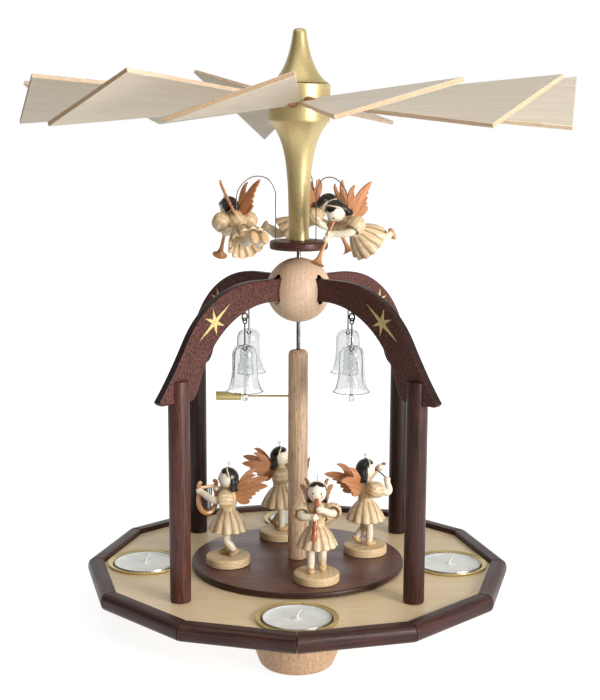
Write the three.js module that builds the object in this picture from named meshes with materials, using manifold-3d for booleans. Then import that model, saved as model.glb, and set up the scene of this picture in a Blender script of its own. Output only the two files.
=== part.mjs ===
// A wooden Christmas pyramid: a twelve-sided base with four tea lights, four posts and arches that meet in a
// ball, and a fan on a steel shaft that turns a table of angels, a striker for four glass bells and three
// flying angels. Millimetres, +Z up, origin on the surface it stands on, under the shaft. The front is -Y.
import * as THREE from 'three';
import { mergeVertices } from 'three/addons/utils/BufferGeometryUtils.js';
import loadManifold from 'manifold-3d';

const wasm = await loadManifold();
wasm.setup();

// Shared clearances
const fit = 0.3; // gap between a piece and its seat
const runningGap = 0.8; // free height under the turntable
const strikeGap = 0.4; // free height between the striker flag and the clappers
const weld = 1e-4; // distance at which two points are one

// Tea lights, their brass cups and the feet that hold the cups
const teaLightRadius = 19;
const teaLightHeight = 14.2;
const teaLightPlay = 0.6;
const wickRadius = 0.6;
const wickHeight = 6;
const wickLean = 0.35;
const cupWall = 0.6;
const cupDepth = 14;
const cupFlange = 22.9;
const cupLip = 1.2;
const footHeight = 18.5;
const footTop = 24.5;
const footBottom = 19.5;
const footRound = 4;

// Twelve-sided base
const baseSides = 12;
const boardThickness = 6.5;
const boardMargin = 1.2;
const rimWidth = 9.5;
const rimAbove = 3;
const rimBelow = 0.5;
const rimRound = 4.6;

// Turntable, column and shaft
const turntableRadius = 64;
const turntableThickness = 3.2;
const turntableRound = 1;
const candleSpacing = 5.4;
const columnRadius = 5.9;
const columnRound = 3;
const columnAboveStriker = 28.2;
const shaftRadius = 1.2;
const shaftPoint = 3;
const shaftShowing = 4.8;
const pivotCupRadius = 5;
const pivotCupFloor = 1.9;
const pivotMouth = 2.6;

// Posts, arches and the ball that joins them
const postRadius = 5.9;
const postHeight = 126;
const postChamfer = 0.8;
const tenonRadius = 3.7;
const tenonLength = 5;
const archThickness = 5;
const archBevel = 0.7;
const archSeat = 12.5;
const archToe = 15.8;
const archHeel = 8.3;
const archToeRise = 2;
const archHeelRise = 9.7;
const archHeelOut = 3.4;
const archHeelUp = 2.7;
const archFlare = 0.64; // share of the outer edge's flare that still follows the arc's slope
const archOuterRadius = 58;
const archOuterInset = 55.3;
const archOuterEnd = Math.PI / 3;
const archInnerRadius = 57;
const archInnerInset = 68.3;
const archTongue = 8.7;
const ballRadius = 19;
const ballHeight = 168;
const archCrown = 8; // top of the arches above the ball's centre
const archSoffit = -5; // underside of the arches at the ball, from its centre
const slotDrill = 1.5;
const bushWall = 1.1;
const bushLength = 30;

// Glass bells with their hooks, eyes and clappers
const bellRing = 43;
const eyeRadius = 2;
const eyeWire = 0.5;
const eyeShank = 1.6;
const hookRing = 1.6;
const hookWire = 0.5;
const hookLength = 14.1;
const bellHeight = 26.8;
const bellShoulder = 5.6;
const bellShoulderDrop = 2;
const bellBody = 7.4;
const bellBodyDrop = 7;
const bellWaist = 7.8;
const bellWaistRise = 8;
const bellLip = 9.5;
const bellLipRise = 2.2;
const bellMouth = 10.8;
const bellWall = 1;
const bellShoulderWall = 0.8;
const clapperRod = 0.7;
const clapperBead = 1.8;
const clapperKnob = 1;
const clapperDrop = 6; // how far the clapper hangs out of the bell

// Striker on the column
const strikerWire = 0.6;
const strikerStart = 3.5;
const strikerReach = 49;
const flagLength = 15;
const flagHeight = 5.2;
const flagSheet = 0.6;

// Fan: carrier disc, hub, finial and blades
const carrierRadius = 17.1;
const carrierThickness = 5.2;
const carrierRound = 1.6;
const hubNeck = 6.05;
const hubNeckStraight = 40;
const hubFlareRadius = 7;
const hubFlareStart = 57;
const hubFlareHeight = 68.7;
const hubDrum = 17.8;
const hubDrumHeight = 20.8;
const hubBoreEnd = 5;
const finialLedge = 17;
const finialHollow = 9.5;
const finialHollowRise = 4;
const finialNeck = 5.2;
const finialNeckRise = 17;
const finialHeight = 30.8;
const finialTip = 3.9;
const finialTipRound = 2.3;
const bladeTip = 155.2;
const bladeTipHalf = 33.7;
const bladeThickness = 2.5;
const bladeStandOff = 2.2;
const bladeGap = 0.36;
const pegRadius = 2.8;
const pegGrip = 10;
const fanOffset = -12.3; // degrees from the front to the first blade
const bladePitches = [18.5, 15.5, 22, 24.5, 22, 24, 20, 42, 21, 18, 20.5, 22.5]; // degrees, set by hand

// Angels: heights add up from the stand to the head
const standRadius = 13.3;
const standHeight = 5;
const standBevel = 1;
const standMargin = 7.7;
const shoeLength = 7;
const shoeToe = 0.9; // how far the middle of a shoe lies before its leg
const shoeHeight = 3;
const legRadius = 2.4;
const legLength = 13;
const stride = 3.4; // half the distance between the legs
const walking = [-6, 22]; // degrees that the right and the left leg of a standing angel swing back
const hemRadius = 11.5;
const hemThickness = 1;
const skirtHeight = 12.2;
const skirtSwell = 9;
const skirtFlare = 4;
const waistRadius = 4.5;
const chestRadius = 5.6;
const chestHeight = 9.3;
const bodiceHeight = 13.4;
const collarRadius = 4.8;
const collarDrop = 1.5;
const neckRadius = 2.2;
const neckHeight = 1.2;
const headRadius = 5.6;
const headRise = 4.7; // middle of the head above the neck
const mouthOut = 5.3;
const mouthDrop = 2.2;
const hairCap = 5.8;
const hairShift = 1.1;
const sleeveRadius = 4.7;
const shoulderHalf = 9;
const elbowOut = 4;
const elbowDrop = 3;
const handsOut = 4.5;
const armRadius = 2.3;
const wingLength = 22;
const wingThickness = 1.1;
const wingRootBack = 4.2;
const wingRootOut = 2;
const standingSpread = { back: 0.9, out: 0.34, up: 0.15 }; // direction of the wings
const flyingSpread = { back: 0.85, out: 0.5, up: 0.15 };
const places = {
  violin: { degrees: 15, heading: 30 },
  horn: { degrees: 105, heading: 0 },
  lyre: { degrees: 195, heading: 180 },
  recorder: { degrees: 285, heading: 270 },
};

// Instruments of the angels
const hornLength = 26;
const hornShorter = 13; // how much shorter the standing angel's horn is
const hornBell = 4;
const hornThroat = 1.5;
const hornPipe = 1.1;
const hornDip = 10; // degrees
const hornLeftHand = 8;
const hornRightHand = 11;
const recorderLength = 24;
const recorderBeak = 1;
const recorderPipe = 1.45;
const recorderFoot = 1.7;
const recorderOut = 0.28; // slope of the recorder away from the chest
const recorderSide = 0.08; // slope of the recorder to the angel's right
const lyreWidth = 11;
const lyreHeight = 20;
const lyreDip = 29;
const lyreDrop = 2.1; // middle of the lyre below the chest
const lyreBar = 1.2;
const lyreYoke = 1;
const lyreTurn = -60; // degrees
const violinLength = 15;
const violinDepth = 2.4;
const violinOut = 7.5;
const violinLeft = 3;
const violinUp = 3.4; // middle of the violin above the neck of the angel
const violinTilt = 25; // degrees
const violinRise = 18; // degrees
const violinHand = 5.5; // left hand from the middle of the violin
const bowLength = 14;
const bowStick = 0.6;
const bowGrip = 12; // right hand from the tip of the bow

// Flying angels on their wires
const flyingRing = 38;
const flyingRise = 13; // chest of a flying angel above the carrier disc
const flyingLean = 53; // degrees that a flying angel leans forward
const flyingKick = [62, 62]; // degrees that its legs are raised behind
const hangWire = 0.6;
const hangRing = 14;
const hangStraight = 26.6;
const hangRise = 37;
const hangCrest = 7.5; // how far out of its foot the wire is highest
const hangBow = 5.5; // how far the wire bows above a straight line to the back
const hangSocket = 3;

// Roundness of the turned and bent pieces
const roundDisc = 32;
const roundLarge = 20;
const roundMedium = 14;
const roundBell = 12;
const roundSmall = 10;
const roundRing = 8;
const roundPin = 7;
const roundLimb = 6;
const roundWire = 5;
const bendSteps = 5;
const headSteps = 5;
const skirtSteps = 3;
const armSteps = 3;
const cornerSteps = 2;

// Levels above the surface it stands on, worked out from the sizes above
const boardTop = footHeight + boardThickness;
const cupInner = teaLightRadius + teaLightPlay;
const cupRadius = cupInner + cupWall;
const candleRing = turntableRadius + cupFlange + candleSpacing;
const rimInner = candleRing + footTop + boardMargin;
const boardRadius = rimInner - fit;
const cupFloor = boardTop + fit - cupDepth;
const boreRadius = shaftRadius + fit;
const tableBottom = boardTop + runningGap;
const tableTop = tableBottom + turntableThickness;
const postTop = boardTop + postHeight;
const archFoot = postTop - archSeat;
const ballCentre = boardTop + ballHeight;
const archTop = ballCentre + archCrown;
const archUnder = ballCentre + archSoffit;
const bushRadius = boreRadius + bushWall;
const outerCentre = [candleRing - archOuterInset, archTop - archOuterRadius];
const innerCentre = [candleRing - archInnerInset, archUnder - archInnerRadius];
const soffitAtBell = innerCentre[1] + Math.sqrt(archInnerRadius ** 2 - (bellRing - innerCentre[0]) ** 2);
const eyeCentre = soffitAtBell - eyeShank - eyeRadius;
const bellPivot = eyeCentre - eyeRadius;
const bellTop = bellPivot - hookLength;
const bellRim = bellTop - bellHeight;
const clapperPivot = bellTop - bellWall - fit - clapperKnob;
const clapperTip = bellRim - clapperDrop;
const flagTop = clapperTip - strikeGap;
const strikerLevel = flagTop - flagHeight / 2;
const columnTop = strikerLevel + columnAboveStriker;
const carrierBottom = ballCentre + ballRadius + shaftShowing;
const carrierTop = carrierBottom + carrierThickness;
const hubBottom = carrierTop + fit;
const drumBottom = hubBottom + hubFlareHeight;
const drumTop = drumBottom + hubDrumHeight;
const hubBoreTop = drumTop - hubBoreEnd;
const pegLevel = (drumBottom + drumTop) / 2;
const pivotTip = boardTop - boardThickness + fit + pivotCupFloor + fit;
const figureRing = turntableRadius - standRadius - standMargin;
const bladeStep = 360 / bladePitches.length;
const halfStep = THREE.MathUtils.degToRad(bladeStep / 2);
const bladeRoot = hubDrum + bladeStandOff;
const bladeRootHalf = bladeRoot * Math.tan(halfStep) - bladeGap;
const pegInner = (pegRadius + fit) / Math.sin(halfStep) + fit;
const quarters = [['front', -90], ['right', 0], ['back', 90], ['left', 180]];
const corners = [['front_right', -45], ['back_right', 45], ['back_left', 135], ['front_left', -135]];

const radians = THREE.MathUtils.degToRad;
const point = (x, y) => new THREE.Vector2(x, y);
const spot = (x, y, z) => new THREE.Vector3(x, y, z);

function onRing(radius, degrees, z) {
  const turn = radians(degrees);
  return spot(radius * Math.cos(turn), radius * Math.sin(turn), z);
}

// Shapes as closed bodies that can be joined and cut
function trianglesOf(geometry, flipped) {
  const list = [];
  const index = geometry.index.array;
  for (let i = 0; i < index.length; i += 3) {
    const [a, b, c] = [index[i], index[i + 1], index[i + 2]];
    if (a === b || b === c || c === a) continue;
    list.push(a, flipped ? c : b, flipped ? b : c);
  }
  return new Uint32Array(list);
}

function solid(geometry) {
  geometry.deleteAttribute('normal');
  geometry.deleteAttribute('uv');
  const merged = mergeVertices(geometry, weld);
  const vertProperties = merged.attributes.position.array;
  const bodyOf = (flipped) => {
    const triVerts = trianglesOf(merged, flipped);
    return new wasm.Manifold(new wasm.Mesh({ numProp: 3, vertProperties, triVerts }));
  };
  const body = bodyOf(false);
  return body.volume() < 0 ? bodyOf(true) : body;
}

function join(...geometries) {
  return geometries.map(solid).reduce((sum, body) => sum.add(body));
}

function cut(body, ...geometries) {
  return geometries.map(solid).reduce((rest, tool) => rest.subtract(tool), body);
}

function geometryOf(body) {
  const { vertProperties, triVerts } = body.getMesh();
  const geometry = new THREE.BufferGeometry();
  geometry.setAttribute('position', new THREE.BufferAttribute(vertProperties, 3));
  geometry.setIndex(new THREE.BufferAttribute(triVerts, 1));
  geometry.computeVertexNormals();
  return geometry;
}

// Turned about Z from [radius, height] pairs; its first corner points to the front
function turned(profile, around) {
  const points = profile.map(([radius, height]) => point(radius, height));
  return new THREE.LatheGeometry(points, around).rotateX(Math.PI / 2);
}

function rod(radius, length, around) {
  return turned([[0, 0], [radius, 0], [radius, length], [0, length]], around);
}

function rodAlongX(radius, from, to, around) {
  return rod(radius, to - from, around).rotateY(Math.PI / 2).translate(from, 0, 0);
}

function bead(radius, around, at) {
  const bands = Math.ceil(around / 2) + 1;
  return new THREE.SphereGeometry(radius, around, bands).rotateX(Math.PI / 2).translate(...at);
}

function ring(radius, wire, around) {
  return new THREE.TorusGeometry(radius, wire, roundWire, around);
}

function bentWire(curve, radius, steps) {
  const turns = Array.from({ length: roundWire }, (_, i) => (i * Math.PI * 2) / roundWire);
  const corner = (turn) => point(radius * Math.cos(turn), radius * Math.sin(turn));
  const section = new THREE.Shape(turns.map(corner));
  return new THREE.ExtrudeGeometry(section, { steps, extrudePath: curve });
}

function board(shape, thickness, curveSegments) {
  const flat = new THREE.ExtrudeGeometry(shape, { depth: thickness, bevelEnabled: false, curveSegments });
  return flat.translate(0, 0, -thickness / 2);
}

// Quarter-round corner of a turned profile, from one level to another
function rounded(radius, size, level, direction) {
  const arc = [];
  for (let i = 0; i <= cornerSteps; i++) {
    const turn = (i / cornerSteps) * (Math.PI / 2);
    const [out, up] = direction > 0 ? [Math.cos(turn), Math.sin(turn)] : [Math.sin(turn), Math.cos(turn)];
    arc.push([radius - size + size * out, level - direction * size * (1 - up)]);
  }
  return arc;
}

// Finishes, each mesh with a material of its own
const finishes = {
  stain: { color: 0x4a2f2a, roughness: 0.35, metalness: 0 },
  maple: { color: 0xd3b98d, roughness: 0.5, metalness: 0 },
  beech: { color: 0xc9a27e, roughness: 0.55, metalness: 0 },
  lime: { color: 0xcdbfa9, roughness: 0.6, metalness: 0 },
  angel: { color: 0xd9b88b, roughness: 0.4, metalness: 0 },
  gold: { color: 0xc9bb85, roughness: 0.4, metalness: 0.6 },
  brass: { color: 0xc9ba7c, roughness: 0.25, metalness: 1 },
  steel: { color: 0x9a9a9a, roughness: 0.3, metalness: 1 },
  glass: { color: 0xe8eeee, roughness: 0.05, metalness: 0 },
  wax: { color: 0xeceae6, roughness: 0.5, metalness: 0 },
};

function piece(name, body, finish) {
  const mesh = new THREE.Mesh(geometryOf(body), new THREE.MeshStandardMaterial(finishes[finish]));
  mesh.name = name;
  return mesh;
}

// A group turned about Z, for what is built on the +X side
function turnedGroup(degrees, ...children) {
  const group = new THREE.Group();
  group.rotation.z = radians(degrees);
  group.add(...children);
  return group;
}

const pyramid = new THREE.Group();

// Base board with holes for the cups, the posts and the pivot
function baseBoard() {
  const blank = rod(boardRadius, boardThickness, baseSides).translate(0, 0, footHeight);
  const holes = [];
  const through = (radius, around) => rod(radius, boardThickness + 2 * fit, around);
  for (const [, degrees] of quarters) {
    const at = onRing(candleRing, degrees, footHeight - fit);
    holes.push(through(cupRadius + fit, roundLarge).translate(at.x, at.y, at.z));
  }
  for (const [, degrees] of corners) {
    const at = onRing(candleRing, degrees, footHeight - fit);
    holes.push(through(tenonRadius + fit, roundSmall).translate(at.x, at.y, at.z));
  }
  holes.push(through(pivotCupRadius + fit, roundMedium).translate(0, 0, footHeight - fit));
  return cut(solid(blank), ...holes);
}
pyramid.add(piece('base_board', baseBoard(), 'maple'));

// Twelve mitred bars of half-round moulding, glued into one rim
function baseRim() {
  const low = footHeight - rimBelow;
  const high = boardTop + rimAbove;
  const outer = rimInner + rimWidth;
  const profile = [
    [rimInner, low],
    ...rounded(outer, rimRound, low, -1),
    ...rounded(outer, rimRound, high, 1),
    [rimInner, high],
    [rimInner, low],
  ];
  return solid(turned(profile, baseSides));
}
pyramid.add(piece('base_rim', baseRim(), 'stain'));

// Turned feet, hollowed for the brass cups
function foot() {
  const top = footHeight - fit;
  const floor = cupFloor - fit;
  const profile = [
    [0, 0],
    ...rounded(footBottom, footRound, 0, -1),
    [footTop, top],
    [cupRadius + fit, top],
    [cupRadius + fit, floor],
    [0, floor],
  ];
  return solid(turned(profile, roundLarge));
}

// Pressed brass cup with a flared lip on the board
function candleCup() {
  const seat = boardTop + fit;
  const profile = [
    [0, cupFloor],
    [cupRadius, cupFloor],
    [cupRadius, seat],
    [cupFlange - cupWall, seat],
    [cupFlange, seat + cupLip],
    [cupFlange - 2 * cupWall, seat + cupWall],
    [cupInner, seat + cupWall],
    [cupInner, cupFloor + cupWall],
    [0, cupFloor + cupWall],
  ];
  return solid(turned(profile, roundLarge));
}

// Tea light with a leaning wick in slightly dished wax
function teaLight() {
  const bottom = cupFloor + cupWall + fit;
  const top = bottom + teaLightHeight;
  const candle = turned([
    [0, bottom],
    [teaLightRadius, bottom],
    [teaLightRadius, top],
    [teaLightRadius - 2 * cupWall, top - cupWall],
    [0, top - 2 * cupWall],
  ], roundLarge);
  const wick = rod(wickRadius, wickHeight + cupLip, roundWire).rotateY(wickLean);
  return join(candle, wick.translate(0, 0, top - 2 * cupWall - cupLip));
}

for (const [side, degrees] of quarters) {
  const set = [
    piece(`foot_${side}`, foot(), 'beech'),
    piece(`candle_cup_${side}`, candleCup(), 'brass'),
    piece(`tea_light_${side}`, teaLight(), 'wax'),
  ];
  for (const mesh of set) mesh.position.copy(onRing(candleRing, degrees, 0));
  pyramid.add(...set);
}

// Post with a tenon in the board and a slot for its arch, on the +X side
function post() {
  const shoulder = boardTop + fit;
  const body = turned([
    [0, boardTop - tenonLength],
    [tenonRadius, boardTop - tenonLength],
    [tenonRadius, shoulder],
    [postRadius, shoulder],
    [postRadius, postTop - postChamfer],
    [postRadius - postChamfer, postTop],
    [0, postTop],
  ], roundMedium);
  const slotFloor = archFoot - fit;
  const slotDepth = postTop - slotFloor + fit;
  const slot = new THREE.BoxGeometry(4 * postRadius, archThickness + 2 * fit, slotDepth);
  return cut(solid(body), slot.translate(0, 0, slotFloor + slotDepth / 2));
}

// Outline of an arch in the plane of its face: x out from the shaft, y up
function archOutline() {
  const tongueEnd = ballRadius - archTongue;
  const [outX, outY] = outerCentre;
  const [inX, inY] = innerCentre;
  const outerEndX = outX + archOuterRadius * Math.sin(archOuterEnd);
  const outerEndY = outY + archOuterRadius * Math.cos(archOuterEnd);
  const innerEnd = Math.acos((archFoot + archHeelRise - inY) / archInnerRadius);
  const toe = point(candleRing + archToe, archFoot + archToeRise);
  const heel = point(candleRing - archHeel, archFoot);
  const flareDrop = (outerEndY - toe.y) * archFlare;
  const flareRun = flareDrop / Math.tan(archOuterEnd);
  const outline = new THREE.Shape();
  outline.moveTo(tongueEnd, archUnder);
  outline.lineTo(inX, archUnder);
  outline.absarc(inX, inY, archInnerRadius, Math.PI / 2, Math.PI / 2 - innerEnd, true);
  outline.quadraticCurveTo(heel.x - archHeelOut, heel.y + archHeelUp, heel.x, heel.y);
  outline.lineTo(toe.x - archToeRise, archFoot);
  outline.lineTo(toe.x, toe.y);
  outline.quadraticCurveTo(outerEndX + flareRun, outerEndY - flareDrop, outerEndX, outerEndY);
  outline.absarc(outX, outY, archOuterRadius, Math.PI / 2 - archOuterEnd, Math.PI / 2, false);
  outline.lineTo(tongueEnd, archTop);
  return outline;
}

// Flat arch board with eased edges and the screw eye for its bell, on the +X side
function arch() {
  const options = {
    depth: archThickness - 2 * archBevel,
    bevelThickness: archBevel,
    bevelSize: archBevel,
    bevelOffset: -archBevel,
    bevelSegments: 1,
    curveSegments: bendSteps,
  };
  const boardBody = new THREE.ExtrudeGeometry(archOutline(), options);
  boardBody.translate(0, 0, archBevel - archThickness / 2).rotateX(Math.PI / 2);
  const shank = rod(eyeWire, eyeShank + 2 * fit + eyeWire + archBevel, roundWire);
  const eye = ring(eyeRadius, eyeWire, roundRing).rotateX(Math.PI / 2);
  return join(
    boardBody,
    shank.translate(bellRing, 0, eyeCentre + eyeRadius - eyeWire / 2),
    eye.translate(bellRing, 0, eyeCentre),
  );
}

// Ball with a bush bore and four slots, each ending in drilled holes
function headBall() {
  const ball = bead(ballRadius, roundLarge, [0, 0, ballCentre]);
  const bore = rod(bushRadius + fit, 4 * ballRadius, roundSmall).translate(0, 0, ballCentre - 2 * ballRadius);
  const tools = [bore];
  const slotInner = ballRadius - archTongue - fit;
  const slotTop = archTop + fit;
  const slotBottom = archUnder - fit;
  for (const [, degrees] of corners) {
    const slot = new THREE.BoxGeometry(ballRadius, archThickness + 2 * fit, slotTop - slotBottom);
    slot.translate(slotInner + ballRadius / 2, 0, (slotTop + slotBottom) / 2);
    tools.push(slot.rotateZ(radians(degrees)));
    for (const level of [slotTop, slotBottom]) {
      const drill = rodAlongX(slotDrill, slotInner, slotInner + ballRadius, roundWire);
      tools.push(drill.translate(0, 0, level).rotateZ(radians(degrees)));
    }
  }
  return cut(solid(ball), ...tools);
}

// Tube that carries the shaft in the ball
function ballBush() {
  const [low, high] = [ballCentre - bushLength / 2, ballCentre + bushLength / 2];
  const profile = [
    [boreRadius, low],
    [bushRadius, low],
    [bushRadius, high],
    [boreRadius, high],
    [boreRadius, low],
  ];
  return solid(turned(profile, roundSmall));
}

// Glass bell, and the wire hook through its crown that holds it in the eye, on the +X side
function bell() {
  const skin = (wall, shoulderWall) => [
    [bellMouth - wall, bellRim],
    [bellLip - wall, bellRim + bellLipRise],
    [bellWaist - wall, bellRim + bellWaistRise],
    [bellBody - wall, bellTop - bellBodyDrop],
    [bellShoulder - shoulderWall, bellTop - bellShoulderDrop - shoulderWall],
    [0, bellTop - wall],
  ];
  const outside = skin(0, 0);
  const inside = skin(bellWall, bellShoulderWall).reverse();
  const glass = turned([...outside, ...inside, outside[0]], roundBell);
  const hookCentre = bellPivot - hookRing + eyeWire + fit + hookWire;
  const upper = ring(hookRing, hookWire, roundRing).rotateY(Math.PI / 2).translate(0, 0, hookCentre);
  const shankLow = bellTop - bellWall / 2;
  const shankLength = hookCentre - hookRing + hookWire - shankLow;
  const shank = rod(hookWire, shankLength, roundWire).translate(0, 0, shankLow);
  return join(glass, shank, upper).translate([bellRing, 0, 0]);
}

// Glass clapper that hangs in a bell, on the +X side
function clapper() {
  const rodLength = clapperPivot - clapperTip - clapperBead;
  const stem = rod(clapperRod, rodLength, roundWire).translate(0, 0, clapperTip + clapperBead);
  const knob = bead(clapperKnob, roundWire, [0, 0, clapperPivot]);
  const drop = bead(clapperBead, roundPin, [0, 0, clapperTip + clapperBead]);
  return join(stem, knob, drop).translate([bellRing, 0, 0]);
}

for (const [corner, degrees] of corners) {
  const postMesh = piece(`post_${corner}`, post(), 'stain');
  postMesh.position.x = candleRing;
  pyramid.add(turnedGroup(
    degrees,
    postMesh,
    piece(`arch_${corner}`, arch(), 'stain'),
    piece(`bell_${corner}`, bell(), 'glass'),
    piece(`clapper_${corner}`, clapper(), 'glass'),
  ));
}
pyramid.add(piece('head_ball', headBall(), 'beech'));
pyramid.add(piece('ball_bush', ballBush(), 'brass'));

// Cup in the board for the point of the shaft
function pivotCup() {
  const low = boardTop - boardThickness + fit;
  const profile = [
    [0, low],
    [pivotCupRadius, low],
    [pivotCupRadius, boardTop],
    [pivotMouth, boardTop],
    [0, low + pivotCupFloor],
  ];
  return solid(turned(profile, roundMedium));
}
pyramid.add(piece('pivot_cup', pivotCup(), 'brass'));

// Everything below turns with the shaft
const rotor = new THREE.Group();
pyramid.add(rotor);

function shaft() {
  const top = hubBoreTop - fit;
  const profile = [[0, pivotTip], [shaftRadius, pivotTip + shaftPoint], [shaftRadius, top], [0, top]];
  return solid(turned(profile, roundSmall));
}
rotor.add(piece('shaft', shaft(), 'steel'));

function discWithBore(radius, low, high, round, around) {
  const profile = [
    [boreRadius, low],
    ...rounded(radius, round, low, -1),
    ...rounded(radius, round, high, 1),
    [boreRadius, high],
    [boreRadius, low],
  ];
  return solid(turned(profile, around));
}
const turntable = discWithBore(turntableRadius, tableBottom, tableTop, turntableRound, roundDisc);
rotor.add(piece('turntable', turntable, 'stain'));

// Column with a rounded top and a hole for the striker wire
function column() {
  const low = tableTop + fit;
  const profile = [
    [boreRadius, low],
    [columnRadius, low],
    ...rounded(columnRadius, columnRound, columnTop, 1),
    [boreRadius, columnTop],
    [boreRadius, low],
  ];
  const hole = rodAlongX(strikerWire + fit, -2 * columnRadius, -strikerStart + fit, roundPin);
  return cut(solid(turned(profile, roundMedium)), hole.translate(0, 0, strikerLevel));
}
rotor.add(piece('column', column(), 'beech'));

// Striker wire to the left, with a sheet flag folded round its end
function strikerArm() {
  const wire = rodAlongX(strikerWire, -strikerReach, -strikerStart, roundPin);
  return solid(wire.translate(0, 0, strikerLevel));
}

function strikerFlag() {
  const sleeve = strikerWire + fit + flagSheet;
  const section = new THREE.Shape();
  const half = flagSheet / 2;
  const meet = Math.asin(half / sleeve);
  section.moveTo(half, -flagHeight / 2);
  section.absarc(0, 0, sleeve, -Math.PI / 2 + meet, Math.PI / 2 - meet, false);
  section.lineTo(half, flagHeight / 2);
  section.lineTo(-half, flagHeight / 2);
  section.absarc(0, 0, sleeve, Math.PI / 2 + meet, -Math.PI / 2 - meet, false);
  section.lineTo(-half, -flagHeight / 2);
  section.holes.push(new THREE.Path().absarc(0, 0, strikerWire + fit, 0, Math.PI * 2, true));
  const sheet = board(section, flagLength, roundWire).rotateZ(Math.PI / 2).rotateY(Math.PI / 2);
  return solid(sheet.translate(flagLength / 2 - strikerReach, 0, strikerLevel));
}
rotor.add(piece('striker_wire', strikerArm(), 'brass'));
rotor.add(piece('striker_flag', strikerFlag(), 'brass'));

// Wing with a crescent above a stepped feather: x along the wing, y across it, drawn as shares of its length
function wing() {
  const share = (x, y) => point(x * wingLength, y * wingLength);
  const lowerEdge = new THREE.QuadraticBezierCurve(share(0, -0.06), share(0.02, -0.42), share(0.38, -0.28));
  const steps = [share(0.38, -0.2), share(0.52, -0.12), share(0.53, -0.04), share(0.73, -0.01)];
  const feather = new THREE.QuadraticBezierCurve(share(1, 0.12), share(0.72, 0.26), share(0.43, 0.19));
  const crescent = new THREE.QuadraticBezierCurve(share(0.7, 0.43), share(0.42, 0.58), share(0, 0.08));
  const curved = [lowerEdge, feather, crescent].map((curve) => curve.getPoints(cornerSteps));
  const outline = [...curved[0], ...steps, ...curved[1], ...curved[2]];
  return board(new THREE.Shape(outline), wingThickness, cornerSteps);
}

// A wing set on the back, pointing along a direction
function wingOnBack(direction, root) {
  const along = direction.clone().normalize();
  const across = spot(0, 0, 1).addScaledVector(along, -along.z).normalize();
  const out = along.clone().cross(across);
  const frame = new THREE.Matrix4().makeBasis(along, across, out).setPosition(root);
  return wing().applyMatrix4(frame);
}

function arm(shoulder, elbow, hand) {
  const bend = new THREE.QuadraticBezierCurve3(shoulder, elbow, hand);
  return bentWire(bend, armRadius, armSteps);
}

// The turn that aims a piece made along Z in a direction
function aimed(direction) {
  return new THREE.Quaternion().setFromUnitVectors(spot(0, 0, 1), direction.clone().normalize());
}

// A pipe turned along Z, set with its start at the mouth and aimed along a direction
function blown(profile, mouth, direction) {
  return [turned(profile, roundLimb).applyQuaternion(aimed(direction)).translate(mouth.x, mouth.y, mouth.z)];
}

function horn(mouth, direction, length) {
  const profile = [
    [0, 0],
    [hornPipe, 0],
    [hornThroat, length - 2 * hornThroat - hornBell / 2],
    [hornBell, length],
    [0, length - hornBell / 2],
  ];
  return blown(profile, mouth, direction);
}

function recorder(mouth, direction) {
  const profile = [
    [0, 0],
    [recorderBeak, 0],
    [recorderPipe, 2 * recorderPipe],
    [recorderPipe, recorderLength - 4 * recorderFoot],
    [recorderFoot, recorderLength - 2 * recorderFoot],
    [recorderFoot, recorderLength],
    [0, recorderLength],
  ];
  return blown(profile, mouth, direction);
}

function lyre(centre) {
  const high = lyreHeight / 2;
  const half = lyreWidth / 2;
  const [start, dip, finish] = [spot(0, -half, high), spot(0, 0, -lyreDip), spot(0, half, high)];
  const frame = new THREE.QuadraticBezierCurve3(start, dip, finish);
  const yoke = rodAlongX(lyreYoke, -half - lyreYoke, half + lyreYoke, roundWire).rotateZ(Math.PI / 2);
  const shapes = [bentWire(frame, lyreBar, bendSteps), yoke.translate(0, 0, high - lyreYoke - lyreBar)];
  return shapes.map((shape) => shape.rotateZ(radians(lyreTurn)).translate(centre.x, centre.y, centre.z));
}

// Violin with its body at the centre and its neck to the front, and the bow across it
function violin(centre) {
  const shares = [0.25, 0.19, 0.11, 0.17, 0.2, 0.05, 0.6].map((share) => share * violinLength);
  const [end, lower, waist, upper, shoulder, neck, scroll] = shares;
  const outline = new THREE.Shape();
  outline.moveTo(-end, 0);
  outline.quadraticCurveTo(-end, lower, 0, waist);
  outline.quadraticCurveTo(shoulder, upper, shoulder, neck);
  outline.lineTo(scroll, neck);
  outline.lineTo(scroll, -neck);
  outline.lineTo(shoulder, -neck);
  outline.quadraticCurveTo(shoulder, -upper, 0, -waist);
  outline.quadraticCurveTo(-end, -lower, -end, 0);
  const box = board(outline, violinDepth, cornerSteps);
  box.rotateX(-radians(violinTilt)).rotateY(-radians(violinRise));
  const bow = rod(bowStick, bowLength, roundWire).applyQuaternion(aimed(bowAim));
  return [box.translate(centre.x, centre.y, centre.z), bow.translate(bowTip.x, bowTip.y, bowTip.z)];
}

// Heights of an angel above the floor of its shoes
const hipLevel = shoeHeight + legLength;
const waistLevel = hipLevel + skirtHeight;
const chestLevel = waistLevel + chestHeight;
const neckLevel = waistLevel + bodiceHeight;
const headLevel = neckLevel + neckHeight + headRise;
const shoulderLevel = neckLevel - sleeveRadius;
const mouthSpot = spot(mouthOut, 0, headLevel - mouthDrop);

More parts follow.
